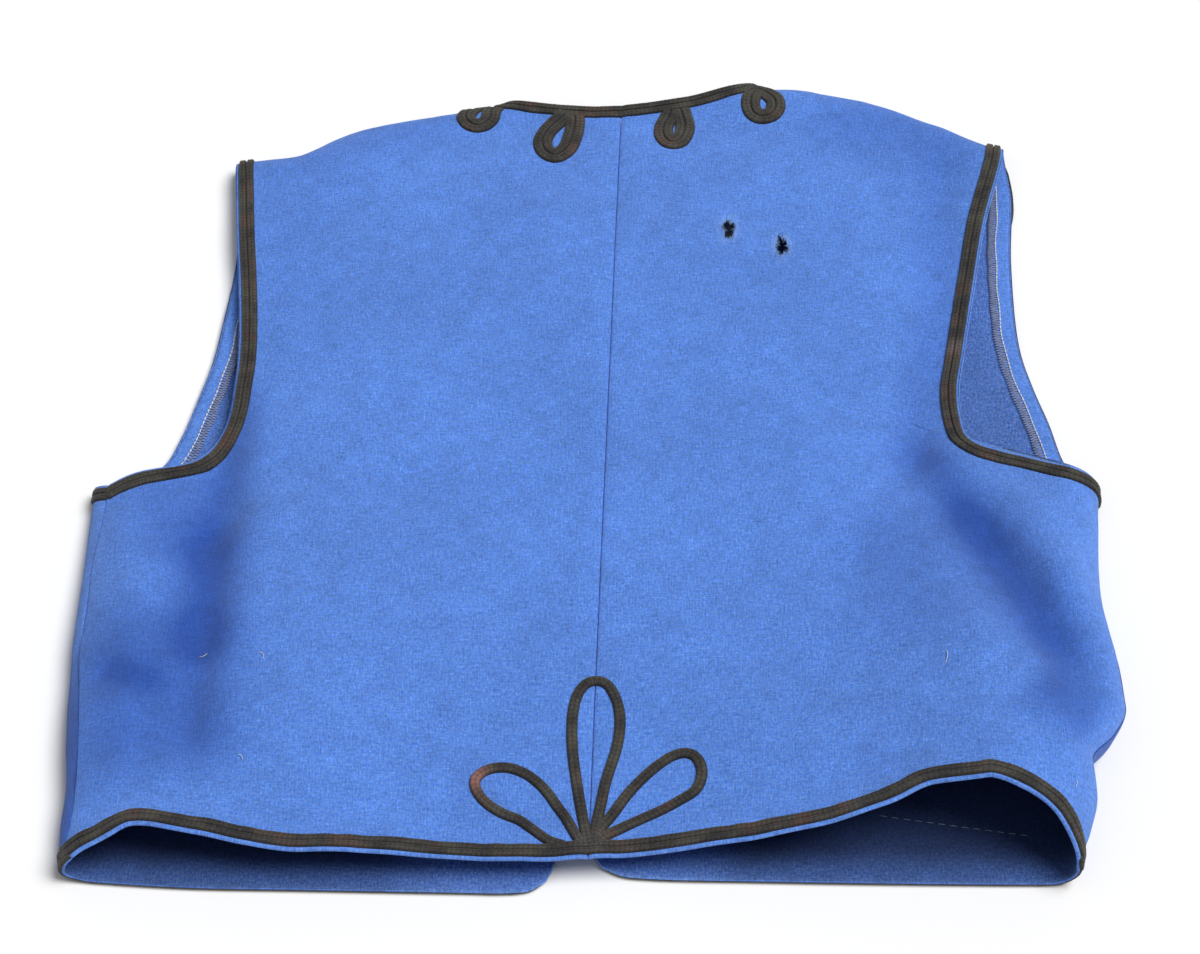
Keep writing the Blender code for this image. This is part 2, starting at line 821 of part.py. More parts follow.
def add_object(name, bm, collection, material):
    bmesh.ops.recalc_face_normals(bm, faces=bm.faces)
    if bm.calc_volume(signed=True) < 0:
        bmesh.ops.reverse_faces(bm, faces=bm.faces)
    mesh = bpy.data.meshes.new(name)
    bm.to_mesh(mesh)
    bm.free()
    if material:
        mesh.materials.append(material)
    mesh.shade_smooth()
    mesh.set_sharp_from_angle(angle=math.radians(50))
    obj = bpy.data.objects.new(name, mesh)
    collection.objects.link(obj)
    return obj


def tube_of_rings(bm, rings):
    """Skin through rings of points, with caps at the ends."""
    loops = [[bm.verts.new(point) for point in ring] for ring in rings]
    count = len(rings[0])
    for one, two in zip(loops, loops[1:]):
        for i in range(count):
            j = (i + 1) % count
            bm.faces.new((one[i], one[j], two[j], two[i]))
    bm.faces.new(loops[0])
    bm.faces.new(loops[-1][::-1])


def wall(name, sheet, place, facing, collection, material):
    """A panel of cloth: the sheet's outer face, its inner face one cloth's thickness in, and the rim."""
    outer, normal = outward(place, facing, sheet[..., 0], sheet[..., 1])
    inner = outer - CLOTH * normal
    rows, columns = sheet.shape[:2]
    bm = bmesh.new()
    faces = [[[bm.verts.new(point) for point in row] for row in layer] for layer in (outer, inner)]
    for layer in faces:
        for i in range(rows - 1):
            for j in range(columns - 1):
                bm.faces.new((layer[i][j], layer[i][j + 1], layer[i + 1][j + 1], layer[i + 1][j]))
    rim = (
        [(0, j) for j in range(columns)]
        + [(i, columns - 1) for i in range(1, rows)]
        + [(rows - 1, j) for j in range(columns - 2, -1, -1)]
        + [(i, 0) for i in range(rows - 2, 0, -1)]
    )
    for (i, j), (k, m) in zip(rim, rim[1:] + rim[:1]):
        bm.faces.new((faces[0][i][j], faces[0][k][m], faces[1][k][m], faces[1][i][j]))
    bmesh.ops.triangulate(bm, faces=bm.faces, quad_method="SHORT_EDGE")
    return add_object(name, bm, collection, material)


def sideways(line):
    """Unit directions to the left of a line on a sheet."""
    step = np.gradient(line, axis=0)
    step /= np.linalg.norm(step, axis=1, keepdims=True)
    return np.stack([-step[:, 1], step[:, 0]], -1)


def strip(name, line, start, section, thick, wide, cloth, collection, material):
    """Braid or tape laid on a face of the cloth along a line of its sheet. start is how far to the left of
    the line it begins. It lies just off the face, and what would reach below the surface is flat."""
    aside = sideways(line)
    start = np.broadcast_to(start, len(line))[:, None]
    under = [i for i, (_, high) in enumerate(section) if high == 0]
    points, normals = [], []
    for far, _ in section:
        at = line + aside * (start + far * wide)
        point, normal = cloth.face(at[:, 0], at[:, 1])
        points.append(point)
        normals.append(normal)
    points, normals = np.stack(points, 1), np.stack(normals, 1)
    base = points + BRAID_GAP * normals
    raised = cloth.clearance(base[:, under], normals[:, under])
    heights = np.array([high * thick for _, high in section])
    rings = base + (raised[:, None] + heights)[..., None] * normals
    rings[..., 2] = np.maximum(rings[..., 2], 0)
    bm = bmesh.new()
    tube_of_rings(bm, rings)
    return add_object(name, bm, collection, material)


class Cloth:
    """One face of the cloth: its smooth shape, and the facets of the panels that were made from it."""

    def __init__(self, place, facing, panels, inside=False):
        self.place, self.facing, self.inside = place, facing, inside
        bm = bmesh.new()
        for panel in panels:
            bm.from_mesh(panel.data)
        self.tree = BVHTree.FromBMesh(bm)
        bm.free()

    def face(self, x, y):
        """Points of the face, and the directions away from the cloth."""
        point, normal = outward(self.place, self.facing, x, y)
        if self.inside:
            return point - CLOTH * normal, -normal
        return point, normal

    def clearance(self, underside, normals):
        """How far each ring of a strip has to rise so that its underside clears the facets."""
        raised = np.zeros(len(underside))
        for _ in range(RAISE_PASSES):
            now = underside + raised[:, None, None] * normals
            need = np.zeros(len(underside))
            for i in range(len(underside) - 1):
                for share in np.linspace(0, 1, 5):
                    between = (1 - share) * now[i] + share * now[i + 1]
                    facing = (1 - share) * normals[i] + share * normals[i + 1]
                    for across in np.linspace(0, len(between) - 1, 7):
                        k = min(int(across), len(between) - 2)
                        part = across - k
                        at = Vector((1 - part) * between[k] + part * between[k + 1])
                        away = Vector((1 - part) * facing[k] + part * facing[k + 1]).normalized()
                        short = self.short_of(at, away)
                        need[i] = max(need[i], short)
                        need[i + 1] = max(need[i + 1], short)
            raised += need
        return raised

    def short_of(self, at, away):
        """How much a point lacks of its gap above the facets."""
        hit, normal, _, _ = self.tree.ray_cast(at + away * RAY_START, -away, 2 * RAY_START)
        if hit is None or normal.dot(away) < 0.7:
            return 0.0
        return BRAID_GAP - (at - hit).dot(away)


def paced(line, cloth, step=BRAID_STEP, most_turn=BRAID_TURN):
    """Points a step apart along a line of a sheet, and closer together where it or the cloth bends."""
    fine = even(line, 400)
    _, normal = cloth.face(fine[:, 0], fine[:, 1])
    bend = np.arccos(np.clip((normal[1:] * normal[:-1]).sum(-1), -1, 1))
    aside = sideways(fine)
    turn = np.arccos(np.clip((aside[1:] * aside[:-1]).sum(-1), -1, 1))
    far = np.linalg.norm(np.diff(fine, axis=0), axis=1)
    pace = np.concatenate([[0], np.cumsum(far / step + (bend + turn) / most_turn)])
    at = np.linspace(0, pace[-1], max(4, round(pace[-1])) + 1)
    return np.stack([np.interp(at, pace, fine[:, k]) for k in (0, 1)], -1)


def inset(line, gap):
    """A line with this much taken off each end, for braid that stops at a seam."""
    far = length_of(line)
    return spread(line, np.linspace(gap / far, 1 - gap / far, len(line)))


# Sub-parts

def make_backs(collection, material):
    cutters = [hole_cutter(number, *hole) for number, hole in enumerate(MOTH_HOLES, 1)]
    panels = [
        wall(f"back_{side}", back_sheet(side), back_place, 1, collection, material)
        for side in ("left", "right")
    ]
    for cutter in cutters:
        cut = panels[1].modifiers.new(cutter.name, "BOOLEAN")
        cut.operation = "DIFFERENCE"
        cut.solver = "EXACT"
        cut.object = cutter
    return Cloth(back_place, 1, panels)


def hole_cutter(number, x, y, half_width, half_length, turn):
    """An upright post with a ragged outline."""
    cutters = bpy.data.collections.get("cutters")
    if cutters is None:
        cutters = bpy.data.collections.new("cutters")
        bpy.context.scene.collection.children.link(cutters)
    angles = np.linspace(0, 2 * math.pi, HOLE_POINTS, endpoint=False)
    ragged = 1 + 0.20 * np.sin(3 * angles + turn) + 0.14 * np.sin(5 * angles - turn)
    across = x + half_width * ragged * np.cos(angles)
    along = y + half_length * ragged * np.sin(angles)
    rings = [np.stack([across, along, np.full(HOLE_POINTS, height)], -1) for height in HOLE_POST]
    bm = bmesh.new()
    tube_of_rings(bm, rings)
    cutter = add_object(f"moth_hole_{number}", bm, cutters, None)
    cutter.hide_render = True
    cutter.display_type = "WIRE"
    return cutter


def make_fronts(collection, material):
    """Each front's outer face, which is underneath, and its inner face."""
    outsides, insides = {}, {}
    for side in ("left", "right"):
        place = front_place_on(np.concatenate([even(line, 90) for line in front_lines(side)]))
        panel = wall(f"front_{side}", front_sheet(side), place, -1, collection, material)
        outsides[side] = Cloth(place, -1, [panel])
        insides[side] = Cloth(place, -1, [panel], inside=True)
    return outsides, insides


def inward(side):
    """Which side of the lines that run up a panel's outer edge its cloth is on, 1 for the left."""
    return -1 if side == "left" else 1


def make_armhole_braids(back, collection, material):
    for side in ("left", "right"):
        line = inset(armhole_line(side, back_side_x, BACK_ARMHOLE[side], back_top_y), SEAM_GAP / 2)
        turn = inward(side)
        strip(f"armhole_braid_{side}", paced(line, back), turn * ARMHOLE_MARGIN, DOUBLE, STRAND_THICK,
              turn * STRAND_WIDE, back, collection, material)


def make_back_hem_braid(back, collection, material):
    left, right = back_sheet("left")[0], back_sheet("right")[0][::-1]
    line = inset(path(np.concatenate([left[:-1], right[1:]])), HEM_INSET)
    strip("hem_braid", paced(line, back), HEM_MARGIN, DOUBLE, STRAND_THICK, STRAND_WIDE, back,
          collection, material)


def neck_turn(x):
    """How far the neck braid has slipped over the edge at x. It does so near both shoulders."""
    return NECK_TURN * on_shoulder(x)


def make_neck_braid(back, collection, material):
    x = np.linspace(NECK_POINT["left"], NECK_POINT["right"], 60)
    line = paced(np.stack([x, back_top_y(x)], -1), back)
    start = neck_turn(line[:, 0]) - NECK_MARGIN
    strip("neck_braid", line, start, DOUBLE, STRAND_THICK, -STRAND_WIDE, back, collection, material)


def make_front_braids(outsides, collection, material):
    """One double braid round each front, from the side seam along the hem and the centre edge to the neck,
    and one round its armhole, all on the outer face, which is underneath."""
    for side, cloth in outsides.items():
        hem, centre_edge, armhole = front_lines(side)
        turn = -inward(side)
        edge = inset(np.concatenate([hem[:-1], centre_edge]), FRONT_INSET)
        edge = paced(edge, cloth, HIDDEN_STEP, HIDDEN_TURN)
        strip(f"front_edge_braid_{side}", edge, turn * FRONT_MARGIN, PLAIN, STRAND_THICK,
              turn * STRAND_WIDE, cloth, collection, material)
        armhole = inset(armhole, FRONT_INSET)
        armhole = paced(armhole, cloth, HIDDEN_STEP, HIDDEN_TURN)
        strip(f"front_armhole_braid_{side}", armhole, -turn * ARMHOLE_MARGIN, PLAIN,
              STRAND_THICK, -turn * STRAND_WIDE, cloth, collection, material)


def make_side_strand(cloth, collection, material):
    start, end, far = SIDE_STRAND
    y = np.linspace(start, end, 20)
    line = np.stack([front_side_x("right", y) - far, y], -1)
    strip("side_strand", paced(line, cloth), 0.0, SINGLE, STRAND_THICK, STRAND_WIDE, cloth, collection,
          material)


def make_turnings(insides, collection, material):
    """The armhole allowances, turned to the inside of each front."""
    for side, cloth in insides.items():
        _, _, armhole = front_lines(side)
        turn = inward(side)
        line = paced(spread(armhole, np.linspace(*TURNING_RUN, 60)), cloth)
        strip(f"armhole_turning_{side}", line, turn * TURNING_MARGIN, TAPE, TURNING_THICK,
              turn * TURNING_WIDE, cloth, collection, material)


def make_neck_loops(back, collection, material):
    for number, points in NECK_LOOPS.items():
        strip(f"neck_loop_{number}", path(points, LOOP_POINTS), -STRAND_WIDE, DOUBLE, STRAND_THICK,
              STRAND_WIDE, back, collection, material)


def make_petals(back, collection, material):
    for name, points in PETALS.items():
        strip(f"petal_{name}", path(points, PETAL_POINTS), -PETAL_WIDE / 2, SINGLE, PETAL_THICK,
              PETAL_WIDE, back, collection, material)


def centre(collections):
    """Moves every piece so that the middle of the vest's box stands over the origin."""
    to_middle = Matrix.Translation((-MIDDLE[0], -MIDDLE[1], 0))
    for collection in collections:
        for obj in collection.objects:
            obj.data.transform(to_middle)


def main():
    for obj in list(bpy.data.objects):
        bpy.data.objects.remove(obj, do_unlink=True)
    vest = bpy.data.collections.new("folk_vest")
    bpy.context.scene.collection.children.link(vest)
    cloth = coat("blue_wool", BLUE, 0.9)
    braid = coat("soutache", BRAID_BROWN, 0.8)
    overlock = coat("overlocked_edge", OVERLOCK_GREY, 0.9)
    back = make_backs(vest, cloth)
    outsides, insides = make_fronts(vest, cloth)
    make_armhole_braids(back, vest, braid)
    make_back_hem_braid(back, vest, braid)
    make_neck_braid(back, vest, braid)
    make_front_braids(outsides, vest, braid)
    make_side_strand(outsides["right"], vest, braid)
    make_turnings(insides, vest, overlock)
    make_neck_loops(back, vest, braid)
    make_petals(back, vest, braid)
    centre([vest, bpy.data.collections["cutters"]])


main()
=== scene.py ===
"""The looks of the folk vest: woollen panels, soutache braid, sewing, light and camera.

Metres, +Z up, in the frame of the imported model. The hem is towards -Y and the neck towards +Y.
Every panel is worked out on its own flat sheet, whose points are then laid over the folds, and what is
sewn on a panel is laid along lines of the same sheet.
"""

import json
import math

import bpy
import numpy as np
from mathutils import Matrix, Vector

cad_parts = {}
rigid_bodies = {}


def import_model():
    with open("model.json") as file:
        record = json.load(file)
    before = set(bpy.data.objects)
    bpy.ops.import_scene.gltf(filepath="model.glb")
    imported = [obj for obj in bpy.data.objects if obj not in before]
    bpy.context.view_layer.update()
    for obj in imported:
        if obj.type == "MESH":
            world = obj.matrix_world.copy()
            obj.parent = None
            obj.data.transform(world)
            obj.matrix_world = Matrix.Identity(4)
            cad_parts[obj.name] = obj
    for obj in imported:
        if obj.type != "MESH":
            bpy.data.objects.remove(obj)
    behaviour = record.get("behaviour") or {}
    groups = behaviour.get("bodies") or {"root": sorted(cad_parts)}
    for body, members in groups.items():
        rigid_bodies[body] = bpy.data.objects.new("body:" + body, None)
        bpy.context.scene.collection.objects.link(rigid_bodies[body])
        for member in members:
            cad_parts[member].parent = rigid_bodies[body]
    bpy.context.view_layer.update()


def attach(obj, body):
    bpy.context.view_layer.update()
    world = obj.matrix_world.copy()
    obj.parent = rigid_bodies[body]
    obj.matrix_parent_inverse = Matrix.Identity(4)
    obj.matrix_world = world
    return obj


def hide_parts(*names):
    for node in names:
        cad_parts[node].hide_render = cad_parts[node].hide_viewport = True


for startup in list(bpy.data.objects):
    bpy.data.objects.remove(startup, do_unlink=True)

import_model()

# The middle of the finished vest's box on the sheets' plan: across, along
MIDDLE = (0.00149, 0.02948)

# Cloth, seams and braid. A margin is how far a braid stays inside its edge.
CLOTH = 0.0020
SEAM_GAP = 0.00012
RIM_ROUND = 0.0006
SIDE_SEAM_ROUND = 0.00022
RIM_ANGLES = (0.0, 0.25 * math.pi, 0.5 * math.pi, 0.75 * math.pi, math.pi)
NEAR_SEAM = (0.0014, 0.0030)
STRAND_PACE = 0.0042
STRAND_WIDE = 0.0045
STRAND_HIGH = 0.0021
STRAND_SINK = 0.0003
ARMHOLE_MARGIN = 0.0018
HEM_MARGIN = 0.0015
FRONT_MARGIN = 0.0002
NECK_MARGIN = 0.0006
NECK_TURN = 0.0035
LIFT = 0.00175
LIFT_BAND = 0.014
LIFT_REACH = 0.024

# The centre back seam leans a little, as the vest was laid down
CENTRE_X = 0.0065
CENTRE_LEAN = 0.035

# How far above the folds' outermost line the seams lie, measured along the cloth
SIDE_SEAM = {"left": 0.0130, "right": 0.0010}
SHOULDER_SEAM = 0.0010
UNDERARM_Y = {"left": -0.001, "right": 0.002}
SIDE_HEM_Y = {"left": -0.2335, "right": -0.2370}

# Side folds, a row for each section from the hem to the underarm:
# along, furthest reach from the middle, height of the furthest line, roundness above, roundness below
SIDE_FOLDS = {
    "left": (
        (-0.235, 0.2490, 0.008, 0.036, 0.015),
        (-0.222, 0.2512, 0.009, 0.036, 0.015),
        (-0.180, 0.2528, 0.012, 0.034, 0.016),
        (-0.100, 0.2572, 0.009, 0.028, 0.014),
        (-0.045, 0.2568, 0.007, 0.024, 0.012),
        (0.000, 0.2570, 0.006, 0.020, 0.010),
        (0.030, 0.2600, 0.006, 0.020, 0.010),
    ),
    "right": (
        (-0.236, 0.2290, 0.015, 0.048, 0.014),
        (-0.226, 0.2315, 0.015, 0.049, 0.014),
        (-0.216, 0.2355, 0.016, 0.051, 0.014),
        (-0.200, 0.2395, 0.020, 0.053, 0.016),
        (-0.182, 0.2388, 0.026, 0.053, 0.018),
        (-0.167, 0.2505, 0.025, 0.054, 0.020),
        (-0.150, 0.2580, 0.024, 0.052, 0.022),
        (-0.128, 0.2575, 0.023, 0.046, 0.022),
        (-0.100, 0.2554, 0.018, 0.038, 0.018),
        (-0.072, 0.2546, 0.010, 0.030, 0.014),
        (-0.030, 0.2580, 0.008, 0.024, 0.012),
        (0.004, 0.2605, 0.006, 0.020, 0.010),
        (0.030, 0.2640, 0.006, 0.020, 0.010),
    ),
}

# Heights of the back's outer face, a row for each section from the hem to the neck
HEIGHT_X = (-0.205, -0.120, 0.000, 0.110, 0.185)
HEIGHTS = (
    # along, left edge, left middle, centre, right middle, right edge
    (-0.225, 0.027, 0.0205, 0.0135, 0.0295, 0.048),
    (-0.180, 0.029, 0.024, 0.018, 0.032, 0.052),
    (-0.120, 0.028, 0.026, 0.023, 0.031, 0.048),
    (-0.060, 0.023, 0.025, 0.024, 0.028, 0.036),
    (0.000, 0.016, 0.022, 0.023, 0.025, 0.024),
    (0.080, 0.012, 0.020, 0.022, 0.022, 0.016),
    (0.160, 0.012, 0.018, 0.021, 0.019, 0.014),
    (0.240, 0.013, 0.016, 0.016, 0.016, 0.014),
    (0.264, 0.013, 0.014, 0.0145, 0.015, 0.013),
    (0.290, 0.013, 0.014, 0.0185, 0.016, 0.013),
)

# The braid holds the hem up: across, how far the edge rises
HEM_CURL = (
    (-0.245, 0.0040), (-0.210, 0.0090), (-0.160, 0.0065), (-0.050, 0.0050), (0.080, 0.0060),
    (0.140, 0.0085), (0.185, 0.0090), (0.220, 0.0060), (0.245, 0.0030),
)
CURL_REACH = 0.030

# Soft folds pressed into the back: start x, start y, end x, end y, height, half width
CREASES = (
    (-0.180, 0.005, -0.195, -0.150, -0.0035, 0.014),
    (-0.228, -0.030, -0.222, -0.150, 0.0015, 0.010),
    (0.197, 0.235, 0.184, 0.090, -0.0022, 0.012),
    (0.184, 0.090, 0.160, 0.000, -0.0030, 0.014),
    (0.185, -0.040, 0.236, -0.160, -0.0060, 0.018),
    (0.190, -0.192, 0.232, -0.184, 0.0030, 0.012),
    (0.060, -0.060, 0.110, -0.150, -0.0015, 0.022),
    (-0.090, 0.150, -0.070, 0.020, -0.0012, 0.020),
)

# The far edge of the vest seen from above: across, along. It is the neck edge between the two neck points
# and the shoulder folds beyond them.
TOP_EDGE = (
    (-0.205, 0.2370), (-0.168, 0.2450), (-0.138, 0.2630), (-0.110, 0.2720), (-0.075, 0.2795),
    (-0.053, 0.2825), (0.004, 0.2780), (0.050, 0.2840), (0.084, 0.2955), (0.097, 0.2980),
    (0.112, 0.2975), (0.147, 0.2918), (0.191, 0.2725), (0.221, 0.2535), (0.236, 0.2490),
)
NECK_POINT = {"left": -0.060, "right": 0.104}
NECK_END = {"left": -0.0615, "right": 0.1055}
SHOULDER_END = {"left": -0.2000, "right": 0.2320}
NECK_EASE = 0.026
SHOULDER_LEVEL = 0.007
SHOULDER_OVER = 0.016
SHOULDER_UNDER = 0.010

# The back's hem on its sheet: across, along
BACK_HEM = (
    (-0.2500, -0.2340), (-0.2290, -0.2285), (-0.2140, -0.2235), (-0.1830, -0.2275), (-0.1365, -0.2325),
    (-0.0895, -0.2327), (-0.0287, -0.2334), (-0.0025, -0.2308), (0.0515, -0.2288), (0.1080, -0.2238),
    (0.1365, -0.2187), (0.1592, -0.2112), (0.1822, -0.2108), (0.2012, -0.2160), (0.2182, -0.2235),
    (0.2366, -0.2330), (0.2480, -0.2370),
)

# The back's armholes from the side seam to the shoulder fold: across, along
BACK_ARMHOLE = {
    "left": (
        (-0.2360, 0.0060), (-0.2060, 0.0170), (-0.1930, 0.0400), (-0.1890, 0.0720), (-0.1895, 0.1110),
        (-0.1950, 0.1720), (-0.1998, 0.2300),
    ),
    "right": (
        (0.2530, 0.0028), (0.2415, 0.0058), (0.2213, 0.0132), (0.2114, 0.0158), (0.2010, 0.0203),
        (0.1955, 0.0270), (0.1934, 0.0380), (0.1932, 0.0620), (0.1981, 0.0914), (0.2064, 0.1350),
        (0.2165, 0.1870), (0.2300, 0.2380),
    ),
}

# The fronts' outlines on their sheets: across, along
FRONT_HEM = {
    "left": (
        (-0.2450, -0.2338), (-0.2330, -0.2350), (-0.1900, -0.2380), (-0.1370, -0.2392), (-0.0600, -0.2408),
        (-0.0400, -0.2411), (-0.0290, -0.2398), (-0.0212, -0.2345),
    ),
    "right": (
        (0.2400, -0.2368), (0.2278, -0.2364), (0.1925, -0.2362), (0.1454, -0.2357), (0.0795, -0.2345),
        (0.0277, -0.2331), (0.0145, -0.2314), (0.0051, -0.2269),
    ),
}
FRONT_CENTRE = {
    "left": (
        (-0.0212, -0.2345), (-0.0170, -0.2240), (-0.0155, -0.2000), (-0.0150, -0.1000), (-0.0150, 0.0000),
        (-0.0210, 0.0450), (-0.0400, 0.1000), (-0.0580, 0.1850), (-0.0615, 0.2450), (-0.0615, 0.2785),
    ),
    "right": (
        (0.0051, -0.2269), (0.0000, -0.2180), (0.0000, -0.1900), (0.0020, -0.1000), (0.0040, 0.0000),
        (0.0160, 0.0450), (0.0500, 0.1000), (0.0860, 0.1850), (0.1015, 0.2450), (0.1055, 0.2880),
    ),
}
FRONT_ARMHOLE = {
    "left": (
        (-0.2450, 0.0080), (-0.2240, 0.0200), (-0.2160, 0.0390), (-0.2080, 0.0710), (-0.2030, 0.0940),
        (-0.1997, 0.1220), (-0.1960, 0.1650), (-0.1970, 0.2050), (-0.1995, 0.2300),
    ),
    "right": (
        (0.2590, 0.0045), (0.2520, 0.0100), (0.2460, 0.0230), (0.2405, 0.0500), (0.2343, 0.0750),
        (0.2295, 0.1030), (0.2300, 0.1670), (0.2343, 0.2180), (0.2330, 0.2400),
    ),
}

# How finely the panels are divided
BODY_ROWS = 100
ARMHOLE_ROWS = 90
FRONT_COLUMNS = 86
NECK_COLUMNS = 30
MIDDLE_TURN = -0.020
SHEET_STEP = 0.0004

# Neck loops, doubled braid bent into drops that hang from the neck braid, each from one foot to the other:
# across, along
NECK_LOOPS = {
    "1": (
        (-0.0530, 0.2810), (-0.0560, 0.2750), (-0.0568, 0.2690), (-0.0610, 0.2634), (-0.0661, 0.2622),
        (-0.0710, 0.2650), (-0.0731, 0.2700), (-0.0718, 0.2755), (-0.0690, 0.2806), (-0.0648, 0.2838),
        (-0.0598, 0.2845), (-0.0540, 0.2830),
    ),
    "2": (
        (-0.0090, 0.2745), (-0.0085, 0.2670), (-0.0098, 0.2545), (-0.0141, 0.2412), (-0.0212, 0.2359),
        (-0.0273, 0.2401), (-0.0295, 0.2489), (-0.0266, 0.2585), (-0.0222, 0.2655), (-0.0180, 0.2712),
        (-0.0150, 0.2760),
    ),
    "3": (
        (0.0444, 0.2775), (0.0418, 0.2700), (0.0389, 0.2626), (0.0390, 0.2531), (0.0432, 0.2467),
        (0.0490, 0.2480), (0.0527, 0.2556), (0.0536, 0.2636), (0.0524, 0.2705), (0.0506, 0.2780),
    ),
    "4": (
        (0.0920, 0.2915), (0.0893, 0.2862), (0.0883, 0.2799), (0.0901, 0.2726), (0.0949, 0.2691),
        (0.1013, 0.2705), (0.1050, 0.2761), (0.1049, 0.2832), (0.1014, 0.2882), (0.0968, 0.2922),
        (0.0915, 0.2926), (0.0870, 0.2900),
    ),
}
# Petals above the middle of the hem, single braid, each from one root to the other: across, along
PETALS = {
    "left": (
        (-0.0110, -0.2243), (-0.0202, -0.2206), (-0.0281, -0.2141), (-0.0343, -0.2090), (-0.0427, -0.2052),
        (-0.0502, -0.2000), (-0.0545, -0.1942), (-0.0555, -0.1888), (-0.0519, -0.1841), (-0.0462, -0.1818),
        (-0.0396, -0.1816), (-0.0316, -0.1844), (-0.0253, -0.1893), (-0.0204, -0.1951), (-0.0160, -0.2020),
        (-0.0120, -0.2081), (-0.0075, -0.2172), (-0.0036, -0.2245),
    ),
    "centre": (
        (-0.0012, -0.2250), (-0.0027, -0.2159), (-0.0053, -0.2002), (-0.0071, -0.1879), (-0.0086, -0.1754),
        (-0.0094, -0.1628), (-0.0089, -0.1501), (-0.0066, -0.1398), (-0.0029, -0.1342), (0.0020, -0.1320),
        (0.0076, -0.1346), (0.0116, -0.1417), (0.0136, -0.1503), (0.0136, -0.1588), (0.0120, -0.1697),
        (0.0090, -0.1805), (0.0064, -0.1904), (0.0046, -0.2002), (0.0024, -0.2114), (0.0008, -0.2250),
    ),
    "right": (
        (-0.0012, -0.2245), (0.0024, -0.2168), (0.0097, -0.2063), (0.0163, -0.1964), (0.0236, -0.1877),
        (0.0310, -0.1806), (0.0384, -0.1757), (0.0450, -0.1745), (0.0500, -0.1771), (0.0525, -0.1833),
        (0.0520, -0.1899), (0.0490, -0.1955), (0.0424, -0.1998), (0.0344, -0.2042), (0.0257, -0.2079),
        (0.0169, -0.2119), (0.0111, -0.2151), (0.0068, -0.2179), (0.0000, -0.2235),
    ),
}
PETAL_WIDE = 0.0057

# Moth holes through the right back: across, along, half width, half length, turn of the ragged outline
MOTH_HOLES = (
    (0.0745, 0.1775, 0.0034, 0.0078, 0.4),
    (0.1032, 0.1655, 0.0033, 0.0075, 2.2),
)

# A strand of braid on the right front, just under the side fold: from, to, distance from the side seam
SIDE_STRAND = (-0.062, -0.010, 0.0055)

QUARTER = np.linspace(0.0, math.pi / 2, 25)

# How soon a pressed fold fades at its ends, as a share of its length
CREASE_FADE = 0.25
# Where the centre seam meets the hem and the neck, along the sheets
HEM_LEVEL = -0.23
NECK_LEVEL = 0.28
HEM_POINTS = 200
# How fast the hem's own curve takes over from the side seam's corner, and how the neck's columns crowd
HEM_CORNER = 8
NECK_CROWD = 1.4
# How much the rows and columns crowd together
BODY_CROWD = 0.38
BACK_CROWD = 0.55
ARMHOLE_CROWD = 0.62
FRONT_CROWD = 0.68


# Curves

def take(rows, index):
    return np.take_along_axis(rows, index[..., None], -1)[..., 0]


def cubic(t, low, high, slope_low, slope_high):
    """A cubic from low to high while t goes from 0 to 1, with these slopes at its ends."""
    return (
        low * (1 + 2 * t) * (1 - t) ** 2
        + high * t * t * (3 - 2 * t)
        + slope_low * t * (1 - t) ** 2
        - slope_high * t * t * (1 - t)
    )


def smooth(at, knots, values):
    """A cubic curve through the knots that never overshoots. values may hold a row for each place."""
    knots = np.asarray(knots, float)
    at = np.clip(np.asarray(at, float), knots[0], knots[-1])
    values = np.broadcast_to(np.asarray(values, float), at.shape + (len(knots),))
    steps = np.diff(knots)
    rises = np.diff(values, axis=-1) / steps
    before, after = rises[..., :-1], rises[..., 1:]
    same_way = before * after > 0
    slopes = np.zeros(values.shape)
    slopes[..., 1:-1] = np.where(same_way, 2 * before * after / np.where(same_way, before + after, 1), 0)
    slopes[..., 0] = rises[..., 0]
    slopes[..., -1] = rises[..., -1]
    i = np.clip(np.searchsorted(knots, at, side="right") - 1, 0, len(knots) - 2)
    step = steps[i]
    t = (at - knots[i]) / step
    return cubic(t, take(values, i), take(values, i + 1), take(slopes, i) * step, take(slopes, i + 1) * step)


def column(rows, number):
    return np.array([row[number] for row in rows])


def ease(t):
    t = np.clip(t, 0, 1)
    return t * t * (3 - 2 * t)


def lengths_along(line):
    return np.concatenate([[0], np.cumsum(np.linalg.norm(np.diff(line, axis=0), axis=1))])


def length_of(line):
    return lengths_along(line)[-1]


def spread(line, shares):
    """Points of a line at these shares of its length."""
    far = lengths_along(line)
    return np.stack([np.interp(shares * far[-1], far, line[:, k]) for k in range(line.shape[1])], -1)


def even(line, count):
    """count points at even distances along a line."""
    return spread(line, np.linspace(0, 1, count))


def path(points, count=240):
    """count points at even distances along a smooth curve through the points."""
    points = np.asarray(points, float)
    spans = np.sqrt(np.linalg.norm(np.diff(points, axis=0), axis=1))
    knots = np.concatenate([[0], np.cumsum(spans)])
    rises = np.diff(points, axis=0) / spans[:, None]
    tangents = np.empty_like(points)
    before, after = spans[:-1, None], spans[1:, None]
    tangents[1:-1] = (after * rises[:-1] + before * rises[1:]) / (before + after)
    tangents[0] = rises[0]
    tangents[-1] = rises[-1]
    at = np.linspace(0, knots[-1], 40 * len(points))
    i = np.clip(np.searchsorted(knots, at, side="right") - 1, 0, len(spans) - 1)
    t = ((at - knots[i]) / spans[i])[:, None]
    span = spans[i][:, None]
    line = cubic(t, points[i], points[i + 1], tangents[i] * span, tangents[i + 1] * span)
    return even(line, count)


# The folds

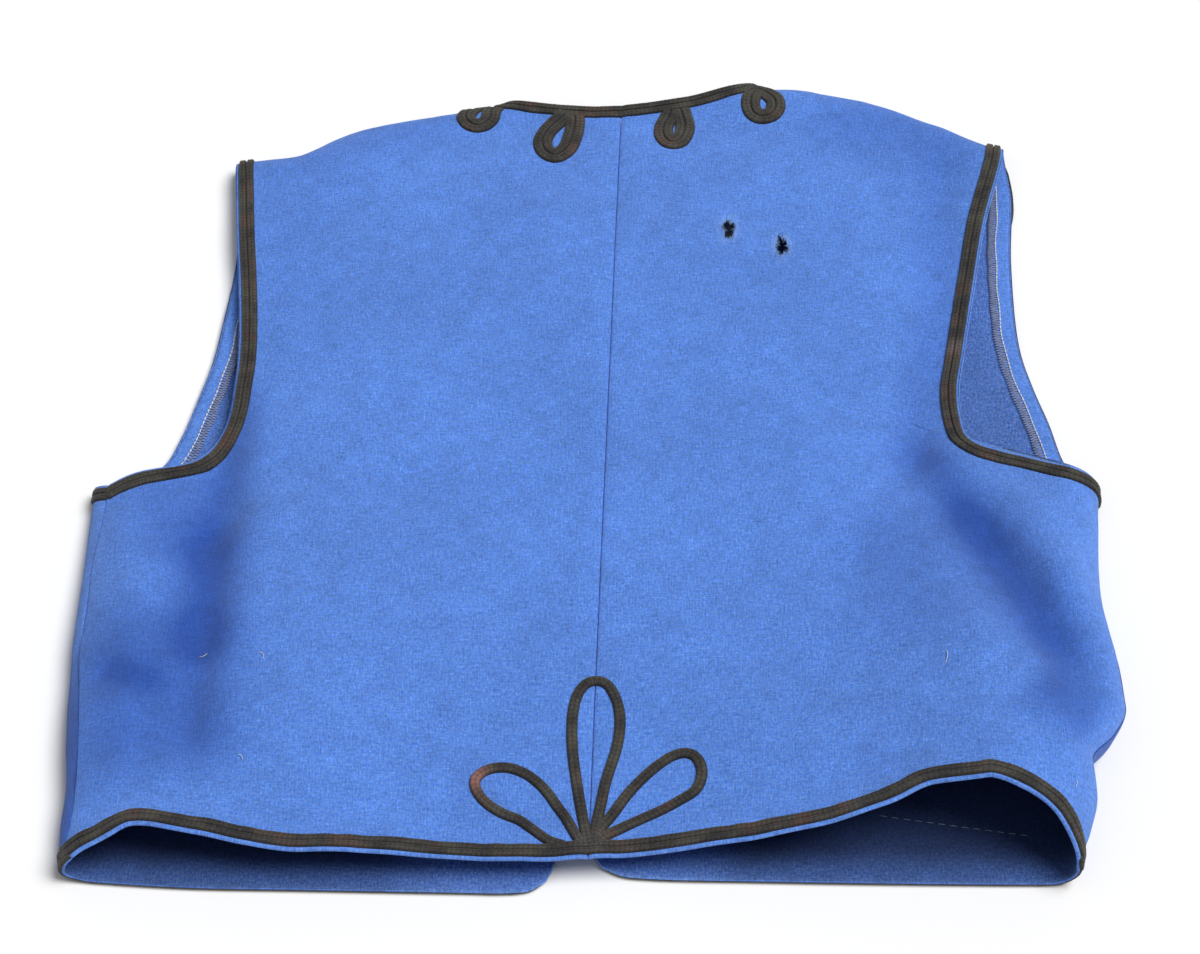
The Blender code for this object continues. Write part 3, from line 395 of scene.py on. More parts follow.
def quarter_lengths(wide, high):
    """Lengths along a quarter ellipse from its level end, at the angles of QUARTER."""
    wide, high = wide[..., None], high[..., None]
    speed = np.hypot(wide * np.cos(QUARTER), high * np.sin(QUARTER))
    steps = (speed[..., 1:] + speed[..., :-1]) / 2 * QUARTER[1]
    return np.concatenate([np.zeros(steps.shape[:-1] + (1,)), np.cumsum(steps, -1)], -1)


def angle_at(length, lengths):
    i = np.clip((lengths <= length[..., None]).sum(-1) - 1, 0, len(QUARTER) - 2)
    low, high = take(lengths, i), take(lengths, i + 1)
    return QUARTER[i] + (length - low) / (high - low) * QUARTER[1]


def side_fold(x, y):
    """Reach, level, roundness above and roundness below of the fold on the side of x, at y."""
    return [
        np.where(
            x < 0,
            smooth(y, column(SIDE_FOLDS["left"], 0), column(SIDE_FOLDS["left"], k)),
            smooth(y, column(SIDE_FOLDS["right"], 0), column(SIDE_FOLDS["right"], k)),
        )
        for k in (1, 2, 3, 4)
    ]


def creases(rows, x, y):
    """The sum of soft folds, each a trough or a ridge that fades at its ends."""
    total = np.zeros(np.shape(x))
    for start_x, start_y, end_x, end_y, height, half_width in rows:
        along_x, along_y = end_x - start_x, end_y - start_y
        long = math.hypot(along_x, along_y)
        share = ((x - start_x) * along_x + (y - start_y) * along_y) / long**2
        aside = ((x - start_x) * along_y - (y - start_y) * along_x) / long
        starts = ease((share + CREASE_FADE) / (2 * CREASE_FADE))
        ends = ease((1 + CREASE_FADE - share) / (2 * CREASE_FADE))
        total += height * starts * ends * np.exp(-((aside / half_width) ** 2))
    return total


def top_height(x, y):
    """Height of the back's outer face over a place, its side and shoulder folds left aside."""
    knots = column(HEIGHTS, 0)
    rows = np.stack([smooth(y, knots, column(HEIGHTS, k)) for k in range(1, 6)], -1)
    return smooth(x, HEIGHT_X, rows) + creases(CREASES, x, y) + hem_curl(x, y)


def hem_curl(x, y):
    rise = smooth(x, column(HEM_CURL, 0), column(HEM_CURL, 1))
    hem = smooth(x, column(BACK_HEM, 0), column(BACK_HEM, 1))
    return rise * np.clip((hem + CURL_REACH - y) / CURL_REACH, 0, 1) ** 2


def top_edge(x):
    return smooth(x, column(TOP_EDGE, 0), column(TOP_EDGE, 1))


def on_shoulder(x):
    """1 where the far edge is a shoulder fold, 0 where it is the neck edge."""
    left = ease((NECK_POINT["left"] + NECK_EASE - x) / NECK_EASE)
    right = ease((x - NECK_POINT["right"] + NECK_EASE) / NECK_EASE)
    return left + right


def back_place(x, y):
    """Where a point of the back's sheet lies. Away from the folds x and y are its place seen from above."""
    x, y = np.broadcast_arrays(np.asarray(x, float), np.asarray(y, float))
    side = np.sign(x)
    reach, level, over, _ = side_fold(x, y)
    start = reach - over
    drop = top_height(side * start, y) - level
    angle = angle_at(np.maximum(np.abs(x) - start, 0), quarter_lengths(over, drop))
    in_fold = np.abs(x) > start
    flat_x = np.where(in_fold, side * (start + over * np.sin(angle)), x)
    side_turn = np.where(in_fold, 1 - np.cos(angle), 0)

    share = on_shoulder(flat_x)
    start = top_edge(flat_x) - SHOULDER_OVER
    drop = top_height(flat_x, start) - SHOULDER_LEVEL
    past = np.maximum(y - start, 0)
    angle = angle_at(past, quarter_lengths(np.full(x.shape, SHOULDER_OVER), drop))
    flat_y = np.where(y > start, (1 - share) * y + share * (start + SHOULDER_OVER * np.sin(angle)), y)
    shoulder_turn = np.where(y > start, share * (1 - np.cos(angle)), 0)
    height = top_height(flat_x, flat_y)
    height = height + (level - height) * side_turn
    height = height + (SHOULDER_LEVEL - height) * shoulder_turn
    return np.stack([flat_x, flat_y, height], -1)


def shoulder_lengths(x):
    """Lengths of cloth round the shoulder fold above and below its furthest line."""
    drop = top_height(x, top_edge(x) - SHOULDER_OVER) - SHOULDER_LEVEL
    over = quarter_lengths(np.full(np.shape(x), SHOULDER_OVER), drop)[..., -1]
    under = quarter_lengths(np.full(np.shape(x), SHOULDER_UNDER), np.full(np.shape(x), SHOULDER_LEVEL))
    return over, under[..., -1]


def side_lengths(x, y):
    reach, level, over, under = side_fold(x, y)
    drop = top_height(np.sign(x) * (reach - over), y) - level
    return quarter_lengths(over, drop)[..., -1], quarter_lengths(under, level)[..., -1]


def front_place_on(edges):
    """The place function of a front's sheet. Near its edges the cloth is raised by the braid beneath."""

    def place(x, y):
        x, y = np.broadcast_arrays(np.asarray(x, float), np.asarray(y, float))
        side = np.sign(x)
        reach, level, over, under = side_fold(x, y)
        over_length, under_length = side_lengths(x, y)
        near = np.min(np.hypot(x[..., None] - edges[:, 0], y[..., None] - edges[:, 1]), -1)
        lift = LIFT * (1 - ease((near - LIFT_BAND) / LIFT_REACH))

        start = reach - under
        past = np.abs(x) - start
        angle = angle_at(np.clip(past, 0, under_length), quarter_lengths(under, level))
        flat_x = np.where(past > 0, side * (start + under * np.sin(angle)), x)
        height = np.where(past > 0, lift * np.cos(angle) + level * (1 - np.cos(angle)), lift)

        shoulder_over, shoulder_under = shoulder_lengths(flat_x)
        start_y = top_edge(flat_x) - SHOULDER_UNDER
        past_y = y - start_y
        round_y = np.full(x.shape, SHOULDER_UNDER)
        level_y = np.full(x.shape, SHOULDER_LEVEL)
        angle = angle_at(np.clip(past_y, 0, shoulder_under), quarter_lengths(round_y, level_y))
        flat_y = np.where(past_y > 0, start_y + SHOULDER_UNDER * np.sin(angle), y)
        rolled = height * np.cos(angle) + SHOULDER_LEVEL * (1 - np.cos(angle))
        height = np.where(past_y > 0, rolled, height)
        place = np.stack([flat_x, flat_y, height], -1)

        above_x = side * (reach - over + over_length - (past - under_length))
        above_y = top_edge(flat_x) - SHOULDER_OVER + shoulder_over - (past_y - shoulder_under)
        beyond_side = (past > under_length)[..., None]
        beyond_shoulder = (past_y > shoulder_under)[..., None]
        place = np.where(beyond_side, back_place(above_x, y), place)
        return np.where(beyond_shoulder, back_place(x, above_y), place)

    return place


def outward(place, facing, x, y):
    """Points of a sheet and the directions in which its outer face looks."""
    step = SHEET_STEP
    across = place(x + step, y) - place(x - step, y)
    along = place(x, y + step) - place(x, y - step)
    normal = facing * np.cross(across, along)
    return place(x, y), normal / np.linalg.norm(normal, axis=-1, keepdims=True)


# Outlines of the sheets

def signed(side):
    return -1.0 if side == "left" else 1.0


def centre_seam(y):
    return CENTRE_X + CENTRE_LEAN * y


def back_side_x(side, y):
    """The side seam on the back's sheet."""
    y = np.asarray(y, float)
    sign = signed(side)
    reach, _, over, _ = side_fold(np.full(y.shape, sign), y)
    over_length, _ = side_lengths(np.full(y.shape, sign), y)
    return sign * (reach - over + over_length - SIDE_SEAM[side] - SEAM_GAP / 2)


def front_side_x(side, y):
    """The side seam on the front's sheet."""
    y = np.asarray(y, float)
    sign = signed(side)
    reach, _, _, under = side_fold(np.full(y.shape, sign), y)
    _, under_length = side_lengths(np.full(y.shape, sign), y)
    return sign * (reach - under + under_length + SIDE_SEAM[side] - SEAM_GAP / 2)


def back_top_y(x):
    """The shoulder seams and the neck edge on the back's sheet."""
    x = np.asarray(x, float)
    over_length, _ = shoulder_lengths(x)
    extra = over_length - SHOULDER_OVER - SHOULDER_SEAM - SEAM_GAP / 2
    return top_edge(x) + on_shoulder(x) * extra


def front_top_y(x):
    """The shoulder seam on a front's sheet."""
    x = np.asarray(x, float)
    _, under_length = shoulder_lengths(x)
    return top_edge(x) - SHOULDER_UNDER + under_length + SHOULDER_SEAM - SEAM_GAP / 2


def armhole_line(side, seam_x, points, top_y):
    start = (float(seam_x(side, UNDERARM_Y[side])), UNDERARM_Y[side])
    end_x = SHOULDER_END[side]
    return path((start,) + points + ((end_x, float(top_y(end_x))),))


def patch(bottom, top, left, right, shares):
    """Points inside four edges, as rows from the bottom up. shares says how the columns are spread."""
    u = shares[None, :, None]
    v = np.linspace(0, 1, len(left))[:, None, None]
    ruled = (1 - u) * left[:, None] + u * right[:, None] + (1 - v) * bottom[None] + v * top[None]
    corners = (
        (1 - u) * (1 - v) * bottom[0]
        + u * (1 - v) * bottom[-1]
        + (1 - u) * v * top[0]
        + u * v * top[-1]
    )
    return ruled - corners


def outer_rows(side, seam_x, points, top_y):
    """Side seam and armhole as one line, with a point for each row. Both panels' rows meet at the seam."""
    y = SIDE_HEM_Y[side] + (UNDERARM_Y[side] - SIDE_HEM_Y[side]) * BODY_SHARES
    seam = np.stack([seam_x(side, y), y], -1)
    armhole = spread(armhole_line(side, seam_x, points, top_y), ARMHOLE_SHARES)
    return np.concatenate([seam, armhole[1:]])


def crowded_start(count, crowd):
    """count steps from 0 to 1, closer together near 0."""
    t = np.linspace(0, 1, count + 1)
    return (1 - crowd) * t + crowd * t * t


def crowded_ends(count, crowd):
    """count steps from 0 to 1, closer together near both ends."""
    t = np.linspace(0, 1, count + 1)
    return t - crowd * np.sin(2 * math.pi * t) / (2 * math.pi)


# Rows up the side and round the armhole, and columns of the back and the fronts
BODY_SHARES = crowded_start(BODY_ROWS, BODY_CROWD)
ARMHOLE_SHARES = crowded_ends(ARMHOLE_ROWS, ARMHOLE_CROWD)
BACK_SHARES = crowded_start(FRONT_COLUMNS + NECK_COLUMNS, BACK_CROWD)
FRONT_SHARES = crowded_ends(FRONT_COLUMNS, FRONT_CROWD)


def centre_rows(low, high):
    """Where the rows meet the middle, a little below the underarm's own height."""
    body = low + (MIDDLE_TURN - low) * BODY_SHARES
    above = MIDDLE_TURN + (high - MIDDLE_TURN) * ARMHOLE_SHARES
    return np.concatenate([body, above[1:]])


def shoulder_columns(side):
    """Where the columns of both panels meet the shoulder seam."""
    return SHOULDER_END[side] + (NECK_END[side] - SHOULDER_END[side]) * FRONT_SHARES


def back_sheet(side):
    sign = signed(side)
    outer = outer_rows(side, back_side_x, BACK_ARMHOLE[side], back_top_y)

    hem_end = centre_seam(HEM_LEVEL) + sign * SEAM_GAP / 2
    hem_x = np.linspace(outer[0, 0], hem_end, HEM_POINTS)
    hem_y = smooth(hem_x, column(BACK_HEM, 0), column(BACK_HEM, 1))
    hem_y = hem_y + (outer[0, 1] - hem_y[0]) * np.linspace(1, 0, HEM_POINTS) ** HEM_CORNER
    hem = spread(np.stack([hem_x, hem_y], -1), BACK_SHARES)

    top_end = centre_seam(NECK_LEVEL) + sign * SEAM_GAP / 2
    neck_shares = np.linspace(0, 1, NECK_COLUMNS + 1) ** NECK_CROWD
    neck_x = NECK_END[side] + (top_end - NECK_END[side]) * neck_shares
    top_x = np.concatenate([shoulder_columns(side), neck_x[1:]])
    top = np.stack([top_x, back_top_y(top_x)], -1)

    middle_y = centre_rows(hem[-1, 1], top[-1, 1])
    middle = np.stack([centre_seam(middle_y) + sign * SEAM_GAP / 2, middle_y], -1)
    middle[0] = hem[-1]
    middle[-1] = top[-1]
    outer[-1] = top[0]
    return patch(hem, top, outer, middle, BACK_SHARES)


def front_lines(side):
    """Hem, centre edge and armhole of a front."""
    seam = (float(front_side_x(side, SIDE_HEM_Y[side])), SIDE_HEM_Y[side])
    hem = path((seam,) + FRONT_HEM[side])
    centre_edge = path(FRONT_CENTRE[side] + ((NECK_END[side], float(front_top_y(NECK_END[side]))),))
    armhole = armhole_line(side, front_side_x, FRONT_ARMHOLE[side], front_top_y)
    return hem, centre_edge, armhole


def front_sheet(side):
    hem_line, centre_line, _ = front_lines(side)
    outer = outer_rows(side, front_side_x, FRONT_ARMHOLE[side], front_top_y)
    hem = spread(hem_line, FRONT_SHARES)
    top_x = shoulder_columns(side)
    top = np.stack([top_x, front_top_y(top_x)], -1)
    rows = centre_rows(HEM_LEVEL, NECK_LEVEL)
    centre_edge = spread(centre_line, (rows - HEM_LEVEL) / (NECK_LEVEL - HEM_LEVEL))
    hem[0] = outer[0]
    hem[-1] = centre_edge[0]
    top[0] = outer[-1]
    top[-1] = centre_edge[-1]
    return patch(hem, top, outer, centre_edge, FRONT_SHARES)


def sideways(line):
    """Unit directions to the left of a line on a sheet."""
    step = np.gradient(line, axis=0)
    step /= np.linalg.norm(step, axis=1, keepdims=True)
    return np.stack([-step[:, 1], step[:, 0]], -1)


def inward(side):
    """Which side of the lines that run up a panel's outer edge its cloth is on, 1 for the left."""
    return -1 if side == "left" else 1


def extended(line, start, end):
    """A line carried on straight by these lengths at its ends."""
    first = line[0] + (line[0] - line[3]) / np.linalg.norm(line[0] - line[3]) * start
    last = line[-1] + (line[-1] - line[-4]) / np.linalg.norm(line[-1] - line[-4]) * end
    return np.concatenate([first[None], line, last[None]])


def neck_turn(x):
    """How far the neck braid has slipped over the edge at x. It does so near both shoulders."""
    return NECK_TURN * on_shoulder(x)


# Relief of the back

# Shallow waves over the whole back: direction in degrees, wavelength, height, phase
WAVES = (
    (12, 0.083, 0.00042, 0.4),
    (74, 0.061, 0.00034, 2.1),
    (128, 0.047, 0.00026, 4.0),
    (38, 0.034, 0.00014, 1.3),
    (161, 0.029, 0.00012, 5.2),
)
# Finer folds on the back: start x, start y, end x, end y, height, half width
FINE_CREASES = (
    (-0.188, 0.045, -0.196, -0.060, -0.0042, 0.011),
    (-0.197, -0.050, -0.192, -0.185, -0.0046, 0.012),
    (-0.168, 0.030, -0.176, -0.100, 0.0016, 0.013),
    (-0.245, -0.128, -0.208, -0.140, -0.0026, 0.010),
    (-0.235, -0.020, -0.232, -0.090, 0.0014, 0.013),
    (0.190, 0.235, 0.181, 0.090, -0.0026, 0.012),
    (0.180, 0.095, 0.162, -0.010, -0.0026, 0.013),
    (0.196, -0.030, 0.236, -0.145, -0.0050, 0.013),
    (0.216, -0.020, 0.248, -0.110, 0.0018, 0.012),
    (0.150, 0.010, 0.205, -0.060, -0.0011, 0.009),
    (0.176, 0.018, 0.226, -0.028, 0.0010, 0.007),
    (-0.150, 0.020, -0.196, -0.040, -0.0009, 0.009),
    (-0.205, -0.060, -0.215, -0.190, -0.0013, 0.009),
    (-0.186, -0.120, -0.175, -0.205, 0.0009, 0.010),
    (0.120, -0.150, 0.165, -0.185, -0.0010, 0.012),
    (0.205, -0.110, 0.238, -0.135, -0.0012, 0.008),
    (-0.120, 0.225, -0.150, 0.175, -0.0009, 0.010),
    (0.140, 0.250, 0.170, 0.195, -0.0009, 0.011),
    (-0.060, -0.150, -0.085, -0.215, 0.0007, 0.011),
    (0.060, -0.185, 0.075, -0.222, -0.0007, 0.009),
    (0.020, 0.120, 0.050, 0.030, -0.0006, 0.016),
)
PUCKER_HIGH = 0.00028
PUCKER_AT = 0.0125
PUCKER_REACH = 0.0085
PUCKER_LONG = {"hem": 0.0165, "armhole": 0.0140, "neck": 0.0150}
DITCH_DEEP = 0.00055
DITCH_HALF = 0.0022
ALLOWANCE_HIGH = 0.00030
ALLOWANCE_WIDE = 0.011
SEAM_PUCKER_HIGH = 0.00012
SEAM_PUCKER_LONG = 0.0105
SEAM_PUCKER_REACH = 0.008
ALLOWANCE_EDGE = 0.003
# Ripples: how much their height varies and over how many ripples, how much their spacing varies likewise
SWELL = 0.35
SWELL_LONG = 3.7
WANDER = 1.1
WANDER_LONG = 2.3

ARMHOLES = {
    side: armhole_line(side, back_side_x, BACK_ARMHOLE[side], back_top_y) for side in ("left", "right")
}


def uneven(along, spacing, phase=0.0):
    """Ripples in a row, uneven in length and height."""
    turn = 2 * math.pi * along / spacing
    swell = 1 - SWELL + SWELL * np.sin(turn / SWELL_LONG + phase)
    return swell * np.sin(turn + WANDER * np.sin(turn / WANDER_LONG + 2 * phase))


def distance_to(line, x, y):
    near = np.full(np.shape(x), np.inf)
    for point in line:
        near = np.minimum(near, np.hypot(x - point[0], y - point[1]))
    return near


def hem_distance(x, y):
    return y - smooth(x, column(BACK_HEM, 0), column(BACK_HEM, 1))


def neck_distance(x, y):
    return back_top_y(x) - y


def edge_puckers(x, y):
    """Where the braid draws the edges together."""
    # Distance from the edge, place along it, spacing, phase
    places = [
        (hem_distance(x, y), x, PUCKER_LONG["hem"], 0.3),
        (distance_to(ARMHOLES["left"], x, y), y, PUCKER_LONG["armhole"], 1.9),
        (distance_to(ARMHOLES["right"], x, y), y, PUCKER_LONG["armhole"], 3.1),
        (neck_distance(x, y), x, PUCKER_LONG["neck"], 4.4),
    ]
    total = np.zeros(np.shape(x))
    for far, along, spacing, phase in places:
        total += np.exp(-(((far - PUCKER_AT) / PUCKER_REACH) ** 2)) * uneven(along, spacing, phase)
    return PUCKER_HIGH * total


def seam_relief(x, y):
    """The ditch of the centre seam, its pressed allowances beneath and its own small puckers."""
    far = np.abs(x - centre_seam(y))
    ditch = -DITCH_DEEP * np.exp(-((far / DITCH_HALF) ** 2))
    allowance = ALLOWANCE_HIGH * (1 - ease((far - ALLOWANCE_WIDE) / ALLOWANCE_EDGE))
    pucker = SEAM_PUCKER_HIGH * uneven(y, SEAM_PUCKER_LONG, 0.8) * np.exp(-((far / SEAM_PUCKER_REACH) ** 2))
    return ditch + allowance + pucker


def relief(x, y):
    total = creases(FINE_CREASES, x, y) + edge_puckers(x, y) + seam_relief(x, y)
    for degrees, long, high, phase in WAVES:
        way = math.radians(degrees)
        total += high * np.sin(2 * math.pi * (x * math.cos(way) + y * math.sin(way)) / long + phase)
    return total


def back_face(x, y):
    """Points of the back's outer face and its outward directions."""
    points, normals = outward(back_place, 1, x, y)
    return points + relief(x, y)[..., None] * normals, normals


def inside_of(face):
    """The inner face of the same cloth."""

    def inner(x, y):
        points, normals = face(x, y)
        return points - CLOTH * normals, -normals

    return inner


# Meshes

TO_MIDDLE = np.array([-MIDDLE[0], -MIDDLE[1], 0.0])
shown = []


def mesh_object(name, points, faces, materials, flat=None, layers=None):
    """A smooth mesh. flat gives each point's place on its sheet and layers the material of each face."""
    points = np.asarray(points, float) + TO_MIDDLE
    points[:, 2] = np.maximum(points[:, 2], 0)
    corners = points[faces]
    volume = np.einsum("ij,ij->", corners[:, 0], np.cross(corners[:, 1], corners[:, 2]))
    volume += np.einsum("ij,ij->", corners[:, 0], np.cross(corners[:, 2], corners[:, 3]))
    if volume < 0:
        faces = faces[:, ::-1]
    mesh = bpy.data.meshes.new(name)
    mesh.from_pydata(points.tolist(), [], faces.tolist())
    for material in materials:
        mesh.materials.append(material)
    if layers is not None:
        mesh.polygons.foreach_set("material_index", layers)
    if flat is not None:
        corner_points = np.empty(len(mesh.loops), np.int32)
        mesh.loops.foreach_get("vertex_index", corner_points)
        mesh.uv_layers.new(name="sheet").data.foreach_set("uv", flat[corner_points].ravel())
    mesh.shade_smooth()
    mesh.update()
    obj = bpy.data.objects.new(name, mesh)
    bpy.context.scene.collection.objects.link(obj)
    shown.append(obj)
    return obj


def add_shares(mesh, label, values):
    """Give each point a named value from 0 to 1 for its material."""
    mesh.attributes.new(label, "FLOAT", "POINT").data.foreach_set("value", np.clip(values, 0, 1))


def layer_quads(rows, columns, first=0):
    index = first + np.arange(rows * columns).reshape(rows, columns)
    return np.stack([index[:-1, :-1], index[:-1, 1:], index[1:, 1:], index[1:, :-1]], -1).reshape(-1, 4)


def border(rows, columns):
    """The points round a grid, in order."""
    index = np.arange(rows * columns).reshape(rows, columns)
    return np.concatenate([index[0, :-1], index[:-1, -1], index[-1, :0:-1], index[:0:-1, 0]])


def crowd(sheet):
    """The sheet with more columns just beside both ends, for the bend of a seam."""
    first, second, before, last = sheet[:, :1], sheet[:, 1:2], sheet[:, -2:-1], sheet[:, -1:]
    start_gap = np.linalg.norm(second - first, axis=-1).mean()
    end_gap = np.linalg.norm(last - before, axis=-1).mean()
    near = 0.8
    more = [first]
    more += [first + (second - first) * far / start_gap for far in NEAR_SEAM if far < near * start_gap]
    more.append(sheet[:, 1:-1])
    more += [last + (before - last) * far / end_gap for far in NEAR_SEAM[::-1] if far < near * end_gap]
    more.append(last)
    return np.concatenate(more, 1)


def panel(name, sheet, face, materials):
    """Both layers of a panel of cloth with a rounded rim between them."""
    sheet = crowd(sheet)
    rows, columns = sheet.shape[:2]
    flat = sheet.reshape(-1, 2).copy()
    rim = border(rows, columns)
    i, j = np.unravel_index(rim, (rows, columns))
    inwards = sheet[np.clip(i, 1, rows - 2), np.clip(j, 1, columns - 2)] - flat[rim]
    inwards /= np.linalg.norm(inwards, axis=1, keepdims=True)
    edge = flat[rim].copy()
    at_side_seam = (j == 0) & (i <= BODY_ROWS)
    inwards *= np.where(at_side_seam, SIDE_SEAM_ROUND, RIM_ROUND)[:, None]
    flat[rim] = edge + inwards
    outer, normal = face(flat[:, 0], flat[:, 1])
    rings, ring_flats = [], []
    for angle in RIM_ANGLES[1:-1]:
        at = edge + (1 - math.sin(angle)) * inwards
        point, away = face(at[:, 0], at[:, 1])
        rings.append(point - CLOTH / 2 * (1 - math.cos(angle)) * away)
        ring_flats.append(at)
    count, around = len(flat), len(rim)
    loops = [rim] + [2 * count + k * around + np.arange(around) for k in range(len(rings))] + [count + rim]
    faces = [layer_quads(rows, columns), layer_quads(rows, columns, count)[:, ::-1]]
    layers = [np.zeros(len(faces[0])), np.ones(len(faces[1]))]
    for number, (one, two) in enumerate(zip(loops, loops[1:])):
        faces.append(np.stack([np.roll(one, -1), one, two, np.roll(two, -1)], -1))
        layers.append(np.full(around, number >= len(rings)))
    points = np.concatenate([outer, outer - CLOTH * normal] + rings)
    flats = np.concatenate([flat, flat] + ring_flats)
    return mesh_object(name, points, np.concatenate(faces), materials, flats,
                       np.concatenate(layers).astype(np.int32))


def ring_faces(rings, around):
    """Quads of a tube, with its ends closed by strips across them."""
    index = np.arange(rings * around).reshape(rings, around)
    ahead = np.roll(index, -1, 1)
    sides = np.stack([index[:-1], ahead[:-1], ahead[1:], index[1:]], -1).reshape(-1, 4)
    half = np.arange(around // 2 - 1)
    ends = []
    for ring, turn in ((index[0], -1), (index[-1], 1)):
        cap = np.stack([ring[half], ring[half + 1], ring[around - 2 - half], ring[around - 1 - half]], -1)
        ends.append(cap[:, ::turn])
    return np.concatenate([sides] + ends)


def join_rings(parts):
    """Points, faces and sheet places of several tubes as one."""
    points, faces, flats, first = [], [], [], 0
    for rings, flat in parts:
        points.append(rings.reshape(-1, 3))
        faces.append(first + ring_faces(*rings.shape[:2]))
        flats.append(flat.reshape(-1, 2))
        first += rings.shape[0] * rings.shape[1]
    return np.concatenate(points), np.concatenate(faces), np.concatenate(flats)


def joined(name, parts, material, node=None):
    """One piece made of several tubes, and the solid that it stands for."""
    points, faces, flats = join_rings(parts)
    obj = mesh_object(name, points, faces, [material], flats)
    if node:
        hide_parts(node)
    return obj


# Braid

STRAND_STEP = 0.00055
HIDDEN_STEP = 0.0015
TAPE_STEP = 0.0011
STRAND_ACROSS = 11
UNDER_SHARES = np.array([0.96, 0.0, -0.96])
COARSER = 4
CHEVRON_LONG = 0.0024
CHEVRON_HIGH = 0.00005
CHEVRON_LEAN = 2.6
GROOVE_DEEP = 0.16
GROOVE_HALF = 0.24
FOOT_LONG = 0.0045
TIP_LONG = 0.0012
TIP_LOW = 0.55
DOME_POWER = 2.6
TAPE_POWER = 8
# How much thinner a thread is at its ends
THREAD_TIP = 0.4


def dome(share):
    """Height of a strand across its width, from -1 to 1, with the shallow groove between its two cords."""
    groove = 1 - GROOVE_DEEP * np.exp(-((share / GROOVE_HALF) ** 2))
    return (1 - abs(share) ** DOME_POWER) ** 0.5 * groove


def finer(values, count):
    """More values on a smooth curve through a row of them."""
    at = np.linspace(0, len(values) - 1, count)
    i = np.clip(at.astype(int), 0, len(values) - 2)
    t = (at - i).reshape((-1,) + (1,) * (values.ndim - 1))
    slopes = np.gradient(values, axis=0)
    return cubic(t, values[i], values[i + 1], slopes[i], slopes[i + 1])


def tape_shape(share):
    return (1 - share**TAPE_POWER) ** 0.5


def strand(line, start, wide, high, face, step=STRAND_STEP, foot=1.0, shape=dome, unit=1.0):
    """One strand laid along a line of a sheet: its rings, and along and across for its material.
    start is how far to the left of the line it begins, and foot is how much of its height its ends keep."""
    long = length_of(line)
    count = max(8, round(long / step))
    coarse = even(line, max(8, round(long / step / COARSER)))
    begins = np.interp(np.linspace(0, 1, len(coarse)), np.linspace(0, 1, np.size(start)), np.ravel(start))
    across = np.linspace(-1, 1, STRAND_ACROSS)
    shares = np.concatenate([across, UNDER_SHARES])
    at = begins[:, None] + wide * (shares + 1) / 2
    at = coarse[:, None] + sideways(coarse)[:, None] * at[..., None]
    points, normals = face(at[..., 0], at[..., 1])
    points, normals = finer(points, count), finer(normals, count)

    far = np.linspace(0, long, count)
    from_end = np.minimum(far, long - far)
    keep = foot + (1 - foot) * ease(from_end / FOOT_LONG)
    keep = keep * (TIP_LOW + (1 - TIP_LOW) * ease(from_end / TIP_LONG))
    chevron = np.sin(2 * math.pi * far[:, None] / CHEVRON_LONG + CHEVRON_LEAN * abs(across))
    chevron = (CHEVRON_HIGH if step == STRAND_STEP else 0.0) * chevron * (1 - across**4)
    top = keep[:, None] * (high * shape(across) + chevron) - STRAND_SINK
    heights = np.concatenate([top, np.full((count, len(UNDER_SHARES)), -2 * STRAND_SINK)], 1)
    flats = np.stack(np.broadcast_arrays(far[:, None], unit * shares), -1)
    return points + heights[..., None] * normals, flats


def pair(line, start, turn, high, face, step=STRAND_STEP, foot=1.0, scale=1.0):
    """Two strands side by side, the first of them beginning at start."""
    pace, wide = scale * STRAND_PACE, scale * STRAND_WIDE
    start = np.asarray(start, float) - turn * (wide - pace) / 2
    starts = (start, start + turn * pace)
    return [strand(line, begins, turn * wide, high, face, step, foot) for begins in starts]


def thread(lines, radius, around=6):
    """Round threads. lines holds points and the directions away from the cloth at each."""
    parts = []
    angles = np.linspace(0, 2 * math.pi, around, endpoint=False)
    for points, away in lines:
        ahead = np.gradient(points, axis=0)
        ahead /= np.linalg.norm(ahead, axis=1, keepdims=True)
        aside = np.cross(ahead, away)
        aside /= np.linalg.norm(aside, axis=1, keepdims=True)
        up = np.cross(aside, ahead)
        thin = np.full(len(points), radius)
        thin[[0, -1]] *= THREAD_TIP
        ring = []
        for angle in angles:
            ring.append(points + thin[:, None] * (math.cos(angle) * aside + math.sin(angle) * up))
        flat = np.stack([np.linspace(0, length_of(points), len(points)), np.zeros(len(points))], -1)
        parts.append((np.stack(ring, 1), np.repeat(flat[:, None], around, 1)))
    return parts


# Materials

WOOL_BLUE = (0.052, 0.191, 0.717)
WOOL_PALE = (0.300, 0.480, 0.860)
WOOL_INSIDE = (0.028, 0.100, 0.425)
# Painted shade along the folds, on the outer face
WOOL_PAINTED_SHADE = (0.022, 0.084, 0.400)
# Painted shade, near black, for the inner faces inside the hem and along the folds
INSIDE_PAINTED_SHADE = (0.004, 0.008, 0.034)
YARN_PITCH = 0.00072
BRAID_DARK = (0.022, 0.020, 0.020)
BRAID_OLIVE = (0.058, 0.054, 0.042)
BRAID_RUST = (0.100, 0.052, 0.038)
BRAID_DUST = (0.250, 0.235, 0.225)
PINK_RUST = (0.330, 0.150, 0.130)
OVERLOCK_GREY = (0.24, 0.29, 0.46)
THREAD_WHITE = (0.66, 0.68, 0.70)
FRAYED_BLUE = (0.30, 0.46, 0.78)
SURFACE_WHITE = (0.92, 0.915, 0.91)
WOOL_TINT = (0.62, 0.76, 1.0)
BRAID_TINT = (0.8, 0.78, 0.75)

